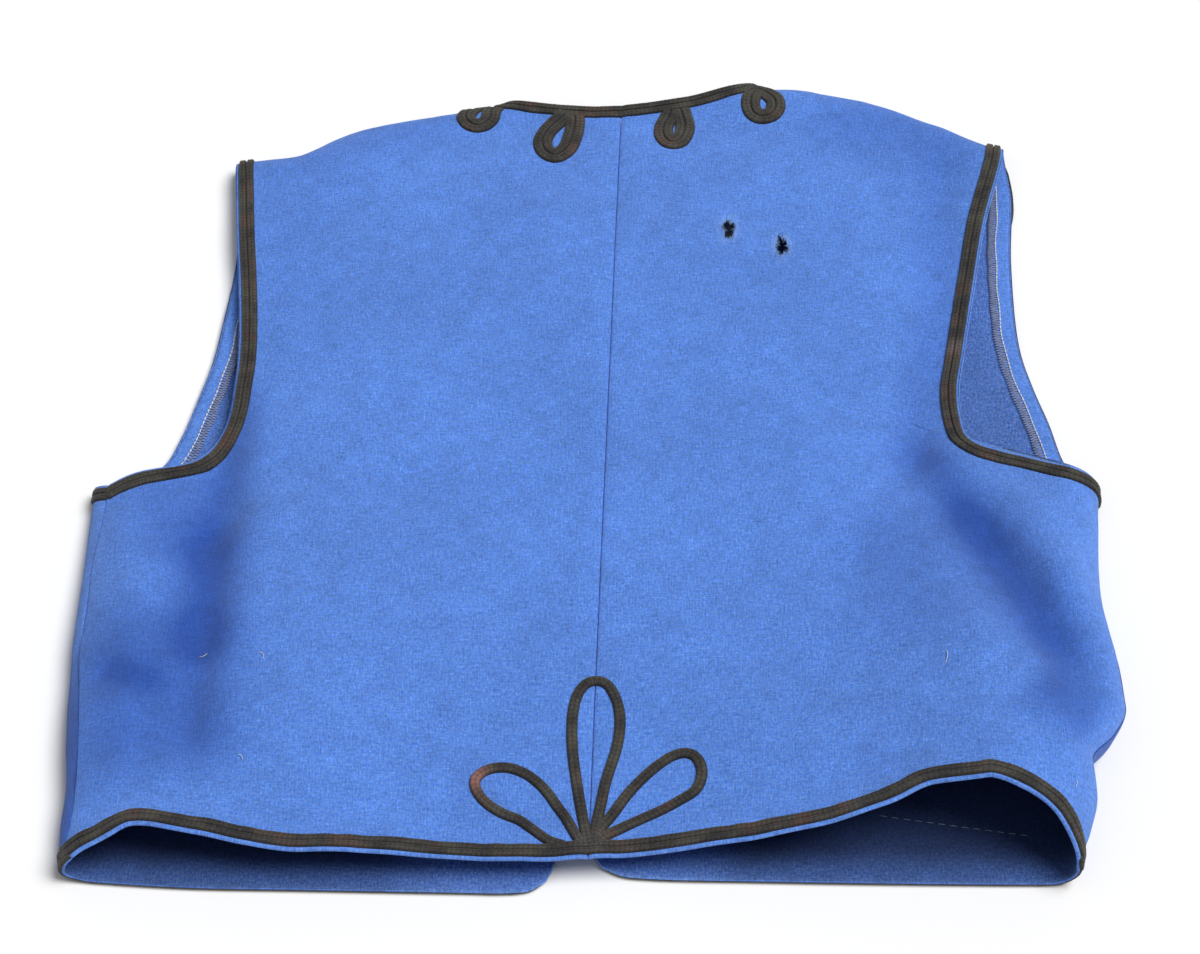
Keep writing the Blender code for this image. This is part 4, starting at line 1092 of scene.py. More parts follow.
# The wool's noises: stretch across, stretch along, scale, detail, roughness
WOOL_NOISES = {
    "warp yarns": (1.0, 0.09, 1500.0, 2.0, 0.55),
    "weft yarns": (0.09, 1.0, 1500.0, 2.0, 0.55),
    "heather": (1.0, 1.0, 760.0, 3.0, 0.75),
    "patches": (1.0, 1.0, 75.0, 3.0, 0.55),
    "tones": (1.0, 1.0, 11.0, 2.0, 0.55),
    "fuzz": (1.0, 1.0, 2600.0, 2.0, 0.80),
    "specks": (1.0, 0.6, 900.0, 3.0, 0.80),
}
# How dark and how light each of them makes the wool
WOOL_TONES = {
    "warp yarns": (0.80, 1.20),
    "weft yarns": (0.80, 1.20),
    "heather": (0.76, 1.24),
    "patches": (0.90, 1.10),
    "tones": (0.90, 1.10),
}
# Painted shade between the yarns and a little painted light on their crowns, by the weave's own height
WEAVE_PAINTED_SHADE = (0.84, 1.04)
# Noise that begins a pale fleck, noise of a full one, and how pale that is
FLECKS = (0.36, 0.68, 0.46)
# Heights of the weave in its bump
RIDGE_BUMP = 0.55
FIBRE_BUMP = 0.35
WOOL_BUMP = (0.00035, 0.8)
BRAID_BUMP = (0.00022, 0.8)
YARN_BUMP = (0.00010, 0.6)


class Finish:
    """A procedural material: short ways to add and join its nodes."""

    def __init__(self, name, roughness, sheen=0.0, tint=(1.0, 1.0, 1.0)):
        self.material = bpy.data.materials.new(name)
        self.material.use_nodes = True
        self.tree = self.material.node_tree
        self.surface = self.tree.nodes["Principled BSDF"]
        for socket, value in (
            ("Roughness", roughness),
            ("Sheen Weight", sheen),
            ("Sheen Roughness", 0.5),
            ("Sheen Tint", tint + (1.0,)),
            ("Specular IOR Level", 0.25),
        ):
            self.surface.inputs[socket].default_value = value

    def node(self, kind, inputs, output=0, **settings):
        node = self.tree.nodes.new(kind)
        for name, value in settings.items():
            setattr(node, name, value)
        for name, value in inputs.items():
            if isinstance(value, bpy.types.NodeSocket):
                self.tree.links.new(value, node.inputs[name])
            else:
                node.inputs[name].default_value = value
        return node.outputs[output]

    def sheet_place(self):
        return self.node("ShaderNodeUVMap", {}, uv_map="sheet")

    def object_place(self):
        return self.node("ShaderNodeTexCoord", {}, output=3)

    def stretched(self, place, x, y):
        return self.node("ShaderNodeVectorMath", {0: place, 1: (x, y, 1.0)}, operation="MULTIPLY")

    def parts(self, place):
        """x and y of a place."""
        x = self.node("ShaderNodeSeparateXYZ", {0: place})
        return x, x.node.outputs[1]

    def math(self, operation, *values):
        return self.node("ShaderNodeMath", dict(enumerate(values)), operation=operation)

    def product(self, *values):
        total = values[0]
        for value in values[1:]:
            total = self.math("MULTIPLY", total, value)
        return total

    def noise(self, place, scale, detail=3.0, rough=0.55):
        inputs = {"Vector": place, "Scale": scale, "Detail": detail, "Roughness": rough}
        return self.node("ShaderNodeTexNoise", inputs)

    def range(self, value, low, high, to_low=0.0, to_high=1.0):
        return self.node("ShaderNodeMapRange", {0: value, 1: low, 2: high, 3: to_low, 4: to_high})

    def mix(self, share, one, two):
        """Of colour one and colour two, a share of two. A colour is three numbers or another node's."""
        one, two = (colour + (1.0,) if isinstance(colour, tuple) else colour for colour in (one, two))
        return self.node("ShaderNodeMix", {0: share, 6: one, 7: two}, output=2, data_type="RGBA")

    def scaled(self, colour, amount):
        return self.node("ShaderNodeVectorMath", {0: colour, "Scale": amount}, operation="SCALE")

    def value_of(self, label):
        return self.node("ShaderNodeAttribute", {}, output=2, attribute_name=label)

    def plain(self, colour):
        """A colour that other nodes can scale."""
        output = self.node("ShaderNodeRGB", {})
        output.default_value = colour + (1.0,)
        return output

    def colour(self, colour):
        self.tree.links.new(colour, self.surface.inputs["Base Color"])

    def bump(self, height, distance, strength=1.0):
        bump = self.node("ShaderNodeBump", {"Height": height, "Distance": distance, "Strength": strength})
        self.tree.links.new(bump, self.surface.inputs["Normal"])


def wool(name, colour, pale, painted_shade, sheen):
    """Plain woven wool with a little fuzz: crossing yarns, uneven yarns, heather and wide tones, with painted
    shade between the yarns and in the folds and hollows.
    """
    finish = Finish(name, 0.92, sheen, WOOL_TINT)
    place = finish.sheet_place()
    across, along = finish.parts(finish.stretched(place, math.pi / YARN_PITCH, math.pi / YARN_PITCH))
    warp = finish.math("SINE", across)
    weft = finish.math("SINE", along)
    is_warp = finish.math("GREATER_THAN", finish.product(warp, weft), 0.0)
    is_weft = finish.math("SUBTRACT", 1.0, is_warp)
    warp_ridge = finish.product(is_warp, finish.math("ABSOLUTE", weft))
    weft_ridge = finish.product(is_weft, finish.math("ABSOLUTE", warp))
    ridge = finish.math("ADD", warp_ridge, weft_ridge)
    noises = {}
    for label, (wide, long, scale, detail, rough) in WOOL_NOISES.items():
        noises[label] = finish.noise(finish.stretched(place, wide, long), scale, detail, rough)

    # Painted shade between the yarns, painted light on their crowns
    level = finish.range(ridge, 0.0, 1.0, *WEAVE_PAINTED_SHADE)
    for label, (dark, light) in WOOL_TONES.items():
        level = finish.product(level, finish.range(noises[label], 0.25, 0.75, dark, light))
    frayed = finish.range(finish.product(noises["heather"], noises["fuzz"]), 0.22, 0.34, 0.55, 1.0)
    body = finish.mix(finish.product(finish.value_of("worn"), frayed), colour, pale)
    first, full, most = FLECKS
    body = finish.mix(finish.range(noises["specks"], first, full, 0.0, most), body, pale)
    # Painted shade in the folds and inside the hem, as much as each point's value asks
    body = finish.mix(finish.value_of("painted_shade"), body, painted_shade)
    finish.colour(finish.scaled(body, level))
    height = finish.math("MULTIPLY_ADD", ridge, RIDGE_BUMP, finish.product(noises["fuzz"], FIBRE_BUMP))
    height = finish.math("ADD", height, finish.product(noises["heather"], FIBRE_BUMP))
    finish.bump(height, *WOOL_BUMP)
    return finish.material


def soutache(name):
    """Dark braid: slanting stitches on both cords, with brown and rusty stretches and a little dust, and
    painted shade in the stitches' slants, down a strand's sides and in the groove between its cords.
    """
    finish = Finish(name, 0.74, 0.18, BRAID_TINT)
    along, across = finish.parts(finish.sheet_place())
    aside = finish.math("ABSOLUTE", across)
    lean = finish.product(aside, CHEVRON_LEAN)
    turn = finish.math("MULTIPLY_ADD", along, 2 * math.pi / CHEVRON_LONG, lean)
    slant = finish.math("SINE", turn)
    fine = finish.math("SINE", finish.product(turn, 3.0))
    spot = finish.object_place()
    patches = finish.noise(spot, 85.0, 3.0)
    rust = finish.noise(spot, 48.0, 2.0)
    fibres = finish.noise(spot, 1900.0, 2.0, 0.8)
    body = BRAID_DARK
    for share, colour in (
        (finish.range(patches, 0.38, 0.64), BRAID_OLIVE),
        (finish.range(rust, 0.56, 0.72, 0.0, 0.75), BRAID_RUST),
        (finish.range(fibres, 0.57, 0.74, 0.0, 0.60), BRAID_DUST),
        (finish.value_of("faded"), BRAID_DUST),
        (finish.value_of("rusty"), PINK_RUST),
    ):
        body = finish.mix(share, body, colour)
    # Painted shade: darker in the slants of the stitches, much darker down both sides of a strand, and darker
    # in the groove between its two cords
    level = finish.product(
        finish.range(slant, -1.0, 1.0, 0.78, 1.08),
        finish.range(aside, 0.62, 1.0, 1.0, 0.28),
        finish.range(aside, 0.0, 0.22, 0.62, 1.0),
    )
    finish.colour(finish.scaled(body, level))
    height = finish.math("MULTIPLY_ADD", fine, 0.18, finish.product(slant, 0.3))
    height = finish.math("ADD", height, finish.product(fibres, 0.6))
    finish.bump(height, *BRAID_BUMP)
    return finish.material


def yarn(name, colour):
    """Sewing thread: a slow twist in its tone and a little fuzz."""
    finish = Finish(name, 0.85, 0.2)
    spot = finish.object_place()
    tone = finish.noise(spot, 420.0, 2.0)
    fibres = finish.noise(spot, 2400.0, 2.0, 0.8)
    level = finish.product(finish.range(tone, 0.3, 0.7, 0.75, 1.15), finish.range(fibres, 0.3, 0.7, 0.8, 1.1))
    finish.colour(finish.scaled(finish.plain(colour), level))
    finish.bump(fibres, *YARN_BUMP)
    return finish.material


def floor_finish():
    finish = Finish("white_surface", 0.9)
    tone = finish.noise(finish.object_place(), 3.0, 2.0)
    level = finish.range(tone, 0.3, 0.7, 0.99, 1.01)
    finish.colour(finish.scaled(finish.plain(SURFACE_WHITE), level))
    return finish.material


# The vest

# How many points the lines have that braid, stitches and worn edges follow
HEM_LINE = 300
NECK_LINE = 200
SIDE_LINE = 60
ROLL_LINE = 400
TURNING_LINE = 300
ALLOWANCE_LINE = 400
STITCH_LINE = 1200
EDGE_LINE = 160
LIFT_LINE = 90

PETAL_HIGH = 0.0024
# How far each braid runs on past the ends of its line: start, end
BACK_ARMHOLE_OVER = (0.0045, 0.0015)
FRONT_OVER = (0.0040, 0.0010)
HEM_OVER = (0.0040, 0.0030)
NECK_BRAID_RUN = (-0.0565, 0.0935)
NECK_SCALE = 0.90
HIDDEN_HIGH = 0.0017
LOOP_FOOT = 0.35
LOOP_SCALE = 1.30
LOOP_INWARDS = 0.0014
# The right front's armhole braid rolls outwards near the shoulder: from and to a share of its line, how far
ARMHOLE_ROLL = (0.72, 0.985, -0.0026)
# Over which shares of the line the roll begins and ends
ROLL_START = 0.10
ROLL_END = 0.05
PETAL_FOOT = 0.45
TAPE_HIGH = 0.0011
TURNING_WIDE = 0.0125
TURNING_MARGIN = 0.0012
TURNING_RUN = (0.05, 0.965)
HOLE_POINTS = 44
HOLE_POST = (0.008, 0.030)
FRONT_RISE = 0.0011
# Rises of the fronts: turns across, turns along, phase, strength
FRONT_WAVES = (
    (52, 21, 0.7, 1.0),
    (-31, 74, 2.0, 0.7),
)
# The rises begin this far from the edges, and are full over this distance
FRONT_CLEAR = 0.02
FRONT_FULL = 0.03
# The shaded cloth inside the hem: from where across on the left and right, over what width, from where along,
# over what length, how dark, and how much of that is left at the very edge
SHADE_ACROSS = (-0.060, 0.030)
SHADE_WIDE = 0.05
SHADE_ALONG = -0.09
SHADE_LONG = 0.06
SHADE_DARK = 0.85
SHADE_EDGE = 0.55
SHADE_HEM = -0.236
SHADE_HEM_LONG = 0.02
# Rubbed edges of the back and fronts: how pale, how wide
BACK_RUBBED = (0.10, 0.0013)
FRONT_RUBBED = (0.25, 0.0015)
# The pale ring round a moth hole: how pale, how far out of the hole, its middle and width as shares
HOLE_RUBBED = 0.50
HOLE_BAND = 0.0015
HOLE_RING = (0.9, 0.30)
# The ragged outline of a moth hole: number of teeth, their size, how far they turn with the hole
HOLE_TEETH = (
    (3, 0.09, 1),
    (5, 0.10, -1),
    (11, 0.08, 2),
    (17, 0.06, 0),
)

# Painted shade along the pressed folds and towards the sides: start x, start y, end x, end y, strength, half
# width
PAINTED_FOLD_SHADE = (
    (-0.184, 0.060, -0.191, -0.030, 0.66, 0.014),
    (-0.190, -0.030, -0.192, -0.110, 0.95, 0.018),
    (-0.191, -0.100, -0.185, -0.185, 0.60, 0.021),
    (-0.232, -0.090, -0.224, -0.195, 0.62, 0.032),
    (-0.242, -0.128, -0.208, -0.137, 0.32, 0.011),
    (-0.226, 0.010, -0.209, -0.060, 0.46, 0.025),
    (0.192, 0.235, 0.181, 0.090, 0.24, 0.014),
    (0.180, 0.100, 0.162, -0.010, 0.30, 0.014),
    (0.170, 0.025, 0.196, -0.045, 0.66, 0.014),
    (0.192, -0.030, 0.232, -0.140, 0.95, 0.018),
    (0.212, -0.150, 0.242, -0.172, 0.68, 0.020),
    (0.150, -0.020, 0.160, -0.120, 0.32, 0.034),
    (-0.190, 0.232, -0.080, 0.268, 0.20, 0.022),
    (0.125, 0.275, 0.215, 0.245, 0.36, 0.026),
    (-0.170, 0.200, -0.160, 0.090, 0.10, 0.030),
)
# Where the braid is worn: across, along, reach, how faded, how rusty
BRAID_WEAR = (
    (-0.0550, -0.1880, 0.0060, 0.10, 0.75),
    (0.2035, 0.2110, 0.0040, 0.55, 0.10),
    (0.2150, 0.2440, 0.0040, 0.45, 0.00),
    (0.1935, 0.0960, 0.0050, 0.30, 0.10),
    (0.0000, -0.2200, 0.0080, 0.12, 0.00),
)


def sheet_places(mesh):
    """Each point's place on its sheet, read back from the mesh's corners."""
    corner_points = np.empty(len(mesh.loops), np.int32)
    mesh.loops.foreach_get("vertex_index", corner_points)
    corner_flats = np.empty(2 * len(mesh.loops))
    mesh.uv_layers["sheet"].data.foreach_get("uv", corner_flats)
    flats = np.zeros((len(mesh.vertices), 2))
    flats[corner_points] = corner_flats.reshape(-1, 2)
    return flats


# Each point's rubbed wear, and its share of painted shade in folds and hollows
def add_wear_and_painted_shade(obj, wear, painted_shade):
    flats = sheet_places(obj.data)
    add_shares(obj.data, "worn", wear(flats[:, 0], flats[:, 1]))
    add_shares(obj.data, "painted_shade", painted_shade(flats[:, 0], flats[:, 1]))


def back_wear(x, y):
    """The turned edges are rubbed pale, and so is the cloth round the moth holes."""
    edge = np.minimum(hem_distance(x, y), neck_distance(x, y))
    for line in ARMHOLES.values():
        edge = np.minimum(edge, distance_to(line, x, y))
    pale, reach = BACK_RUBBED
    wear = pale * np.exp(-((edge / reach) ** 2))
    middle, wide = HOLE_RING
    for hole_x, hole_y, half_width, half_length, _ in MOTH_HOLES:
        around = np.hypot((x - hole_x) / (half_width + HOLE_BAND), (y - hole_y) / (half_length + HOLE_BAND))
        wear += HOLE_RUBBED * np.exp(-(((around - middle) / wide) ** 2))
    return wear


def back_painted_shade(x, y):
    """Painted shade along the pressed folds and towards the sides."""
    return creases(PAINTED_FOLD_SHADE, x, y)


def front_painted_shade(x, y):
    """Painted shade on the unlit cloth inside the hem."""
    left, right = SHADE_ACROSS
    across = ease(np.maximum(x - right, left - x) / SHADE_WIDE)
    along = ease((SHADE_ALONG - y) / SHADE_LONG)
    edge = SHADE_EDGE + (1 - SHADE_EDGE) * ease((y - SHADE_HEM) / SHADE_HEM_LONG)
    return SHADE_DARK * across * along * edge


def front_wear_on(side):
    edges = np.concatenate([even(line, EDGE_LINE) for line in front_lines(side)])
    pale, reach = FRONT_RUBBED

    def wear(x, y):
        return pale * np.exp(-((distance_to(edges, x, y) / reach) ** 2))

    return wear


def hole_outline(x, y, half_width, half_length, turn, count=HOLE_POINTS):
    angles = np.linspace(0, 2 * math.pi, count, endpoint=False)
    ragged = 1 + sum(size * np.sin(teeth * angles + share * turn) for teeth, size, share in HOLE_TEETH)
    return np.stack([x + half_width * ragged * np.cos(angles), y + half_length * ragged * np.sin(angles)], -1)


def cut_moth_holes(obj):
    cutters = []
    for number, hole in enumerate(MOTH_HOLES, 1):
        outline = hole_outline(*hole)
        rings = np.stack([np.column_stack([outline, np.full(len(outline), high)]) for high in HOLE_POST])
        points, faces, _ = join_rings([(rings, np.zeros(rings.shape[:2] + (2,)))])
        cutter = mesh_object(f"hole_{number}", points, faces, [])
        shown.remove(cutter)
        cutters.append(cutter)
        cut = obj.modifiers.new(cutter.name, "BOOLEAN")
        cut.operation = "DIFFERENCE"
        cut.solver = "EXACT"
        cut.object = cutter
    graph = bpy.context.evaluated_depsgraph_get()
    whole = obj.evaluated_get(graph)
    holed = bpy.data.meshes.new_from_object(whole, preserve_all_data_layers=True, depsgraph=graph)
    obj.modifiers.clear()
    obj.data = holed
    for cutter in cutters:
        bpy.data.objects.remove(cutter, do_unlink=True)


def front_relief(x, y, edges):
    """Low rises of the fronts off the surface, none where the braid lies beneath."""
    clear = ease((distance_to(edges, x, y) - FRONT_CLEAR) / FRONT_FULL)
    wave = sum(size * np.sin(across * x + along * y + phase) for across, along, phase, size in FRONT_WAVES)
    return FRONT_RISE * clear * np.clip(wave, 0, None)


def front_face_on(side):
    """Points of a front's outer face, which is underneath, and its outward directions."""
    edges = np.concatenate([even(line, LIFT_LINE) for line in front_lines(side)])
    place = front_place_on(edges)

    def face(x, y):
        points, normals = outward(place, -1, x, y)
        return points - front_relief(x, y, edges)[..., None] * normals, normals

    return face


def flat_size(sheet):
    """Width, length and area of a sheet as it is cut."""
    low, high = sheet.reshape(-1, 2).min(0), sheet.reshape(-1, 2).max(0)
    edge = sheet.reshape(-1, 2)[border(*sheet.shape[:2])]
    after = np.roll(edge, -1, 0)
    area = abs((edge[:, 0] * after[:, 1] - after[:, 0] * edge[:, 1]).sum()) / 2
    width, length = high - low
    return float(width), float(length), float(area)


def make_panels(cloths):
    panels, sizes, faces = {}, {}, {}
    for side in ("left", "right"):
        sheet = back_sheet(side)
        sizes["back_" + side] = flat_size(sheet)
        back = panel(f"wool_back_{side}", sheet, back_face, cloths)
        if side == "right":
            cut_moth_holes(back)
        add_wear_and_painted_shade(back, back_wear, back_painted_shade)
        panels["back_" + side] = back
        faces[side] = front_face_on(side)
        sheet = front_sheet(side)
        sizes["front_" + side] = flat_size(sheet)
        front = panel(f"wool_front_{side}", sheet, faces[side], cloths)
        add_wear_and_painted_shade(front, front_wear_on(side), front_painted_shade)
        panels["front_" + side] = front
    for node, piece in panels.items():
        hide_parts(node)
    return panels, sizes, faces


def add_braid_wear(obj):
    """Faded and rusty spots of the braid."""
    count = len(obj.data.vertices)
    points = np.empty(3 * count)
    obj.data.vertices.foreach_get("co", points)
    points = points.reshape(-1, 3) - TO_MIDDLE
    faded, rusty = np.zeros(count), np.zeros(count)
    for x, y, reach, fade, rust in BRAID_WEAR:
        near = np.exp(-((points[:, 0] - x) ** 2 + (points[:, 1] - y) ** 2) / reach**2)
        faded += fade * near
        rusty += rust * near
    add_shares(obj.data, "faded", faded)
    add_shares(obj.data, "rusty", rusty)


def braid(name, strands, node):
    """Soutache. Its worn and rusty spots are added once all of it is there."""
    return joined("soutache_" + name, strands, braid_finish, node)


def make_back_braids():
    made = []
    for side in ("left", "right"):
        turn = inward(side)
        line = extended(ARMHOLES[side], *BACK_ARMHOLE_OVER)
        strands = pair(line, turn * ARMHOLE_MARGIN, turn, STRAND_HIGH, back_face)
        made.append(braid(f"armhole_{side}", strands, f"armhole_braid_{side}"))
    left, right = back_sheet("left")[0], back_sheet("right")[0][::-1]
    hem = extended(even(np.concatenate([left[:-1], right[1:]]), HEM_LINE), *HEM_OVER)
    made.append(braid("hem", pair(hem, HEM_MARGIN, 1, STRAND_HIGH, back_face), "hem_braid"))
    x = np.linspace(*NECK_BRAID_RUN, NECK_LINE)
    neck = np.stack([x, back_top_y(x)], -1)
    strands = pair(neck, neck_turn(x) - NECK_MARGIN, -1, STRAND_HIGH, back_face, scale=NECK_SCALE)
    made.append(braid("neck", strands, "neck_braid"))
    for number, points in NECK_LOOPS.items():
        line = path(points)
        across, along = line[:, 0], line[:, 1]
        turning = np.sign((across * np.roll(along, -1) - np.roll(across, -1) * along).sum())
        start = turning * LOOP_INWARDS - LOOP_SCALE * STRAND_PACE
        strands = pair(line, start, 1, STRAND_HIGH, back_face, foot=LOOP_FOOT, scale=LOOP_SCALE)
        made.append(braid(f"loop_{number}", strands, f"neck_loop_{number}"))
    for name, points in PETALS.items():
        strands = [strand(path(points), -PETAL_WIDE / 2, PETAL_WIDE, PETAL_HIGH, back_face, foot=PETAL_FOOT)]
        made.append(braid(f"petal_{name}", strands, f"petal_{name}"))
    return made


def shifted(line, start, end, out):
    """The line, moved outwards between two shares of its length."""
    fine = even(line, ROLL_LINE)
    share = np.linspace(0, 1, len(fine))
    amount = ease((share - start) / ROLL_START) * ease((end - share) / ROLL_END)
    return fine + sideways(fine) * (out * amount)[:, None]


def make_front_braids(faces):
    made = []
    for side, face in faces.items():
        hem, centre_edge, armhole = front_lines(side)
        turn = -inward(side)
        edge = extended(np.concatenate([hem[:-1], centre_edge]), *FRONT_OVER)
        strands = pair(edge, turn * FRONT_MARGIN, turn, HIDDEN_HIGH, face, HIDDEN_STEP)
        made.append(braid(f"front_edge_{side}", strands, f"front_edge_braid_{side}"))
        armhole = extended(armhole, *FRONT_OVER)
        if side == "right":
            armhole = shifted(armhole, *ARMHOLE_ROLL)
        strands = pair(armhole, -turn * ARMHOLE_MARGIN, -turn, HIDDEN_HIGH, face, HIDDEN_STEP)
        made.append(braid(f"front_armhole_{side}", strands, f"front_armhole_braid_{side}"))
    start, end, far = SIDE_STRAND
    y = np.linspace(start, end, SIDE_LINE)
    line = np.stack([front_side_x("right", y) - far, y], -1)
    made.append(braid("side", [strand(line, 0.0, STRAND_WIDE, HIDDEN_HIGH, faces["right"])], "side_strand"))
    return made


def beside(line, face, far, aside, high):
    """Points at distances along, to the left of and above a line of a sheet, and directions away."""
    fine = even(line, STITCH_LINE)
    at = np.linspace(0, length_of(fine), len(fine))
    left = sideways(fine)
    place = np.stack([np.interp(far, at, fine[:, k]) for k in (0, 1)], -1)
    left = np.stack([np.interp(far, at, left[:, k]) for k in (0, 1)], -1)
    place = place + left * np.asarray(aside)[:, None]
    points, normals = face(place[:, 0], place[:, 1])
    return points + np.asarray(high)[:, None] * normals, normals


OVERLOCK_STEP = 0.0017
OVERLOCK_RADIUS = 0.00030
# One stitch of the overlocking: share of the step along, distance from the fold, height
OVERLOCK_STITCH = (
    (0.00, 0.0088, 0.0013),
    (0.15, 0.0108, 0.0015),
    (0.32, 0.0126, 0.0014),
    (0.45, 0.0134, 0.0008),
    (0.58, 0.0126, 0.0014),
    (0.80, 0.0108, 0.0015),
)
CHAIN_STEP = 0.0028
CHAIN_FAR = 0.0086
CHAIN_RADIUS = 0.00042
# One chain stitch: share of the step along, height above the allowance
CHAIN_STITCH = (
    (0.02, -0.0001),
    (0.25, 0.0003),
    (0.50, 0.0004),
    (0.75, 0.0003),
    (0.94, -0.0001),
)
# How far the stitches stray from their rows, and how often
OVERLOCK_STRAY = (0.0002, 310)
CHAIN_STRAY = (0.0003, 190)
# How far from both ends of the allowance the stitches stay
STITCH_START = 0.002
STITCH_END = 0.004


def make_allowances(faces):
    """The allowances turned inside the armholes, with their overlocking and a row of chain stitches."""
    overlock_rows = np.array(OVERLOCK_STITCH)
    chain_rows = np.array(CHAIN_STITCH)
    for side, face in faces.items():
        _, _, armhole = front_lines(side)
        turn = inward(side)
        line = even(spread(armhole, np.linspace(*TURNING_RUN, TURNING_LINE)), ALLOWANCE_LINE)
        inner = inside_of(face)
        tape = strand(line, turn * TURNING_MARGIN, turn * TURNING_WIDE, TAPE_HIGH, inner, TAPE_STEP,
                      shape=tape_shape, unit=TURNING_WIDE / 2)
        joined(f"wool_allowance_{side}", [tape], cloths[0], f"armhole_turning_{side}")

        last = length_of(line) - STITCH_END
        starts = np.arange(STITCH_START, last, OVERLOCK_STEP)
        far = (starts[:, None] + overlock_rows[:, 0] * OVERLOCK_STEP).ravel()
        stray, often = OVERLOCK_STRAY
        aside = turn * np.tile(overlock_rows[:, 1], len(starts)) + stray * np.sin(often * far)
        stitches = beside(line, inner, far, aside, np.tile(overlock_rows[:, 2], len(starts)))
        joined(f"overlock_{side}", thread([stitches], OVERLOCK_RADIUS), overlock_finish)

        chain = []
        stray, often = CHAIN_STRAY
        for start in np.arange(STITCH_START, last, CHAIN_STEP):
            far = start + CHAIN_STEP * chain_rows[:, 0]
            aside = np.full(len(far), turn * CHAIN_FAR) + stray * math.sin(often * start)
            chain.append(beside(line, inner, far, aside, TAPE_HIGH + chain_rows[:, 1]))
        joined(f"chain_stitch_{side}", thread(chain, CHAIN_RADIUS), white_finish)


FRAY_SEED = 5
FRAY_COUNT = 34
FRAY_RADIUS = 0.00013
FRAY_HIGH = 0.00012
# Shortest and longest reach of a yarn end into its hole, how much it droops there, how far it leans
FRAY_REACH = (0.0008, 0.0026)
FRAY_DROOP = (0.1, 0.8)
FRAY_LEAN = 0.5
LINT_RADIUS = 0.00017
LINT_HIGH = 0.0002
LINT_ARCH = 0.0006
# Lint on the back: across, along, length, direction in degrees, bend
LINT = (
    (-0.1660, -0.1820, 0.0045, 130, 1.6),
    (-0.1930, -0.1150, 0.0048, 20, 1.9),
    (-0.1610, -0.1220, 0.0060, 115, 2.4),
    (0.1690, -0.1390, 0.0085, 78, 0.9),
    (0.2290, -0.2065, 0.0036, 85, 0.4),
)
# A row of hand stitches inside the right front: from, to, length of a stitch, from one to the next
INSIDE_STITCHES = ((0.138, -0.197), (0.212, -0.210), 0.0036, 0.0056)
STITCH_LOW = 0.0001
STITCH_ARCH = 0.0002


def make_frays():
    """Yarn ends round the moth holes."""
    draw = np.random.default_rng(FRAY_SEED)
    share = np.linspace(-0.5, 1, 6)
    lines = []
    for hole in MOTH_HOLES:
        middle = np.array(hole[:2])
        for point in hole_outline(*hole, count=FRAY_COUNT):
            inwards = (middle - point) / np.linalg.norm(middle - point)
            turn = draw.normal(0, FRAY_LEAN)
            sine, cosine = math.sin(turn), math.cos(turn)
            way = np.array([inwards[0] * cosine - inwards[1] * sine, inwards[0] * sine + inwards[1] * cosine])
            reach = draw.uniform(*FRAY_REACH)
            at = point + way * (share * reach)[:, None]
            points, normals = back_face(at[:, 0], at[:, 1])
            droop = draw.uniform(*FRAY_DROOP) * reach * share**2
            high = np.where(share < 0, FRAY_HIGH, FRAY_HIGH - droop)
            lines.append((points + high[:, None] * normals, normals))
    joined("frayed_yarns", thread(lines, FRAY_RADIUS), yarn("frayed_wool", FRAYED_BLUE))


def make_lint():
    lines = []
    share = np.linspace(-0.5, 0.5, 9)
    for x, y, long, degrees, bend in LINT:
        way = math.radians(degrees) + bend * share
        step = long / (len(share) - 1)
        at = np.stack([x + np.cumsum(step * np.cos(way)), y + np.cumsum(step * np.sin(way))], -1)
        points, normals = back_face(at[:, 0], at[:, 1])
        high = LINT_HIGH + LINT_ARCH * (1 - (2 * share) ** 2)
        lines.append((points + high[:, None] * normals, normals))
    joined("lint", thread(lines, LINT_RADIUS), white_finish)


def make_inside_stitches(face):
    start, end, long, pace = INSIDE_STITCHES
    line = np.stack([np.linspace(start[k], end[k], 50) for k in (0, 1)], -1)
    share = np.linspace(0, 1, 5)
    high = STITCH_LOW + STITCH_ARCH * np.sin(math.pi * share)
    lines = []
    for first in np.arange(0, length_of(line) - long, pace):
        lines.append(beside(line, face, first + long * share, np.zeros(len(share)), high))
    joined("inside_stitches", thread(lines, LINT_RADIUS), overlock_finish)


# Light, surface and camera

FLOOR_SIZE = 9.0
FLOOR_DROP = 0.0003
KEY_STRENGTH = 2.96
KEY_ANGLE = math.radians(34)
KEY_FROM = (0.50, -0.10, 1.0)
FILL_STRENGTH = 0.25
FILL_ANGLE = math.radians(70)
FILL_FROM = (-0.4, -0.5, 1.0)
SKY = (0.94, 0.97, 1.0, 1.0)
SKY_STRENGTH = 0.21
CAMERA_ELEVATION = math.radians(50)
CAMERA_FAR = 1.70
CAMERA_LENS = 99.0
SENSOR_WIDE = 36.0
PHOTO_WIDE = 1200
CAMERA_LOOK = (0.0, 0.0, 0.01)
# How many of the photo's pixels the camera is moved to the right and up
CAMERA_ASIDE = 8.0
CAMERA_UP = 12.0


def add_sun(name, strength, angle, source):
    light = bpy.data.lights.new(name, "SUN")
    light.energy = strength
    light.angle = angle
    obj = bpy.data.objects.new(name, light)
    obj.rotation_euler = Vector(source).to_track_quat("Z", "Y").to_euler()
    bpy.context.scene.collection.objects.link(obj)


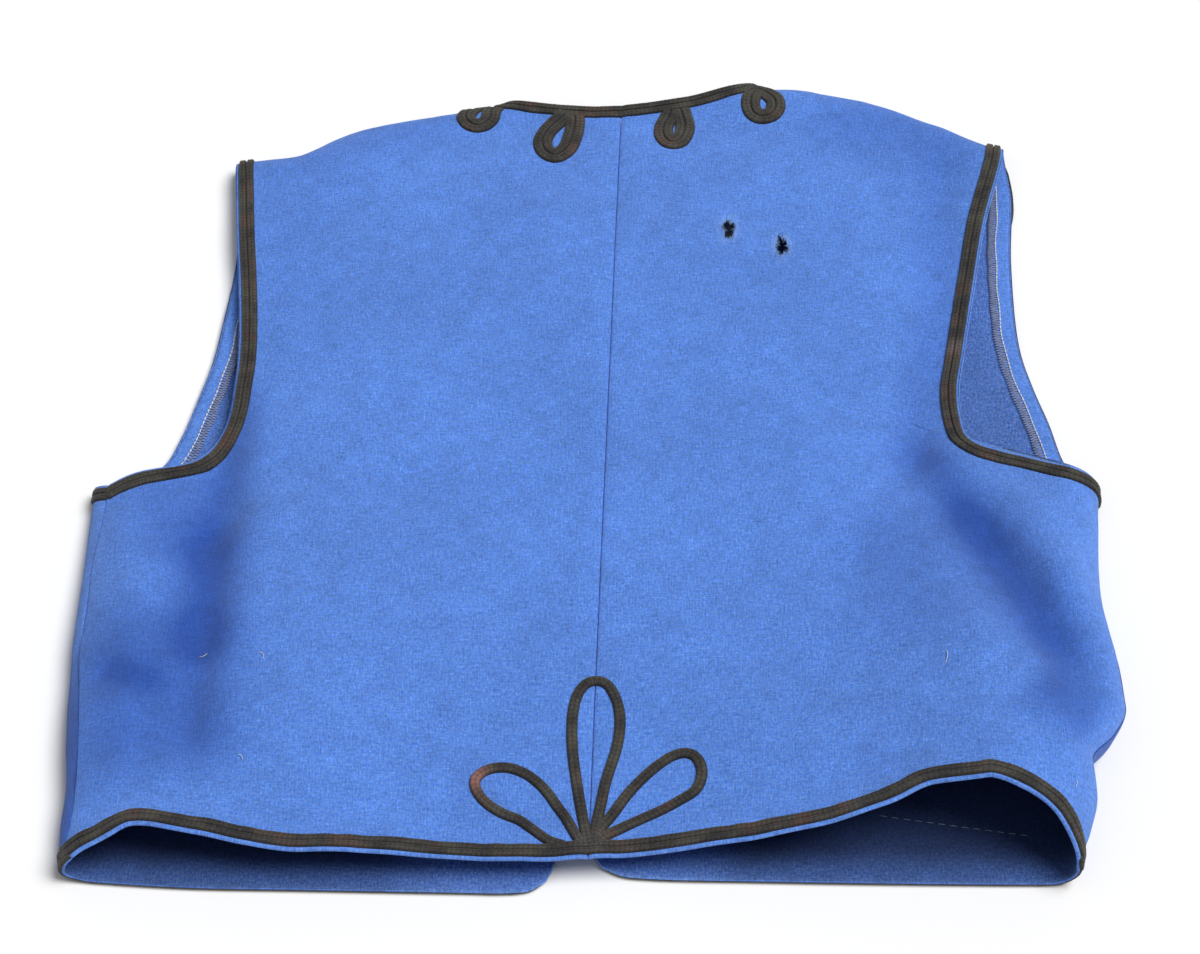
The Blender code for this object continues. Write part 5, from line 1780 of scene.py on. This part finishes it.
def add_stage():
    bpy.ops.mesh.primitive_plane_add(size=FLOOR_SIZE, location=(0, 0, -FLOOR_DROP))
    floor = bpy.context.object
    floor.name = "floor"
    floor.data.materials.append(floor_finish())
    add_sun("key", KEY_STRENGTH, KEY_ANGLE, KEY_FROM)
    add_sun("fill", FILL_STRENGTH, FILL_ANGLE, FILL_FROM)
    world = bpy.data.worlds.new("studio")
    world.use_nodes = True
    sky = world.node_tree.nodes["Background"]
    sky.inputs[0].default_value = SKY
    sky.inputs[1].default_value = SKY_STRENGTH
    bpy.context.scene.world = world
    bpy.context.scene.view_settings.view_transform = "Standard"


def add_camera():
    """The photo's view: from beyond the hem, 50 degrees above the surface."""
    sine, cosine = math.sin(CAMERA_ELEVATION), math.cos(CAMERA_ELEVATION)
    back, right, up = Vector((0, -cosine, sine)), Vector((1, 0, 0)), Vector((0, sine, cosine))
    data = bpy.data.cameras.new("camera")
    data.lens = CAMERA_LENS
    data.sensor_width = SENSOR_WIDE
    pixel = CAMERA_FAR / (CAMERA_LENS / data.sensor_width * PHOTO_WIDE)
    place = Vector(CAMERA_LOOK) + Vector(TO_MIDDLE) + back * CAMERA_FAR
    place += right * CAMERA_ASIDE * pixel + up * CAMERA_UP * pixel
    camera = bpy.data.objects.new("camera", data)
    camera.matrix_world = Matrix.Translation(place) @ Matrix((right, up, back)).transposed().to_4x4()
    bpy.context.scene.collection.objects.link(camera)
    bpy.context.scene.camera = camera


cloths = (
    wool("blue_wool_outside", WOOL_BLUE, WOOL_PALE, WOOL_PAINTED_SHADE, 0.24),
    wool("blue_wool_inside", WOOL_INSIDE, WOOL_PALE, INSIDE_PAINTED_SHADE, 0.06),
)
panels, sizes, front_faces = make_panels(cloths)
braid_finish = soutache("soutache_braid")
overlock_finish = yarn("overlock_yarn", OVERLOCK_GREY)
white_finish = yarn("white_thread", THREAD_WHITE)
for trim in make_back_braids() + make_front_braids(front_faces):
    add_braid_wear(trim)
make_allowances(front_faces)
make_frays()
make_lint()
make_inside_stitches(inside_of(front_faces["right"]))

for piece in shown:
    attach(piece, "root")

add_stage()
add_camera()
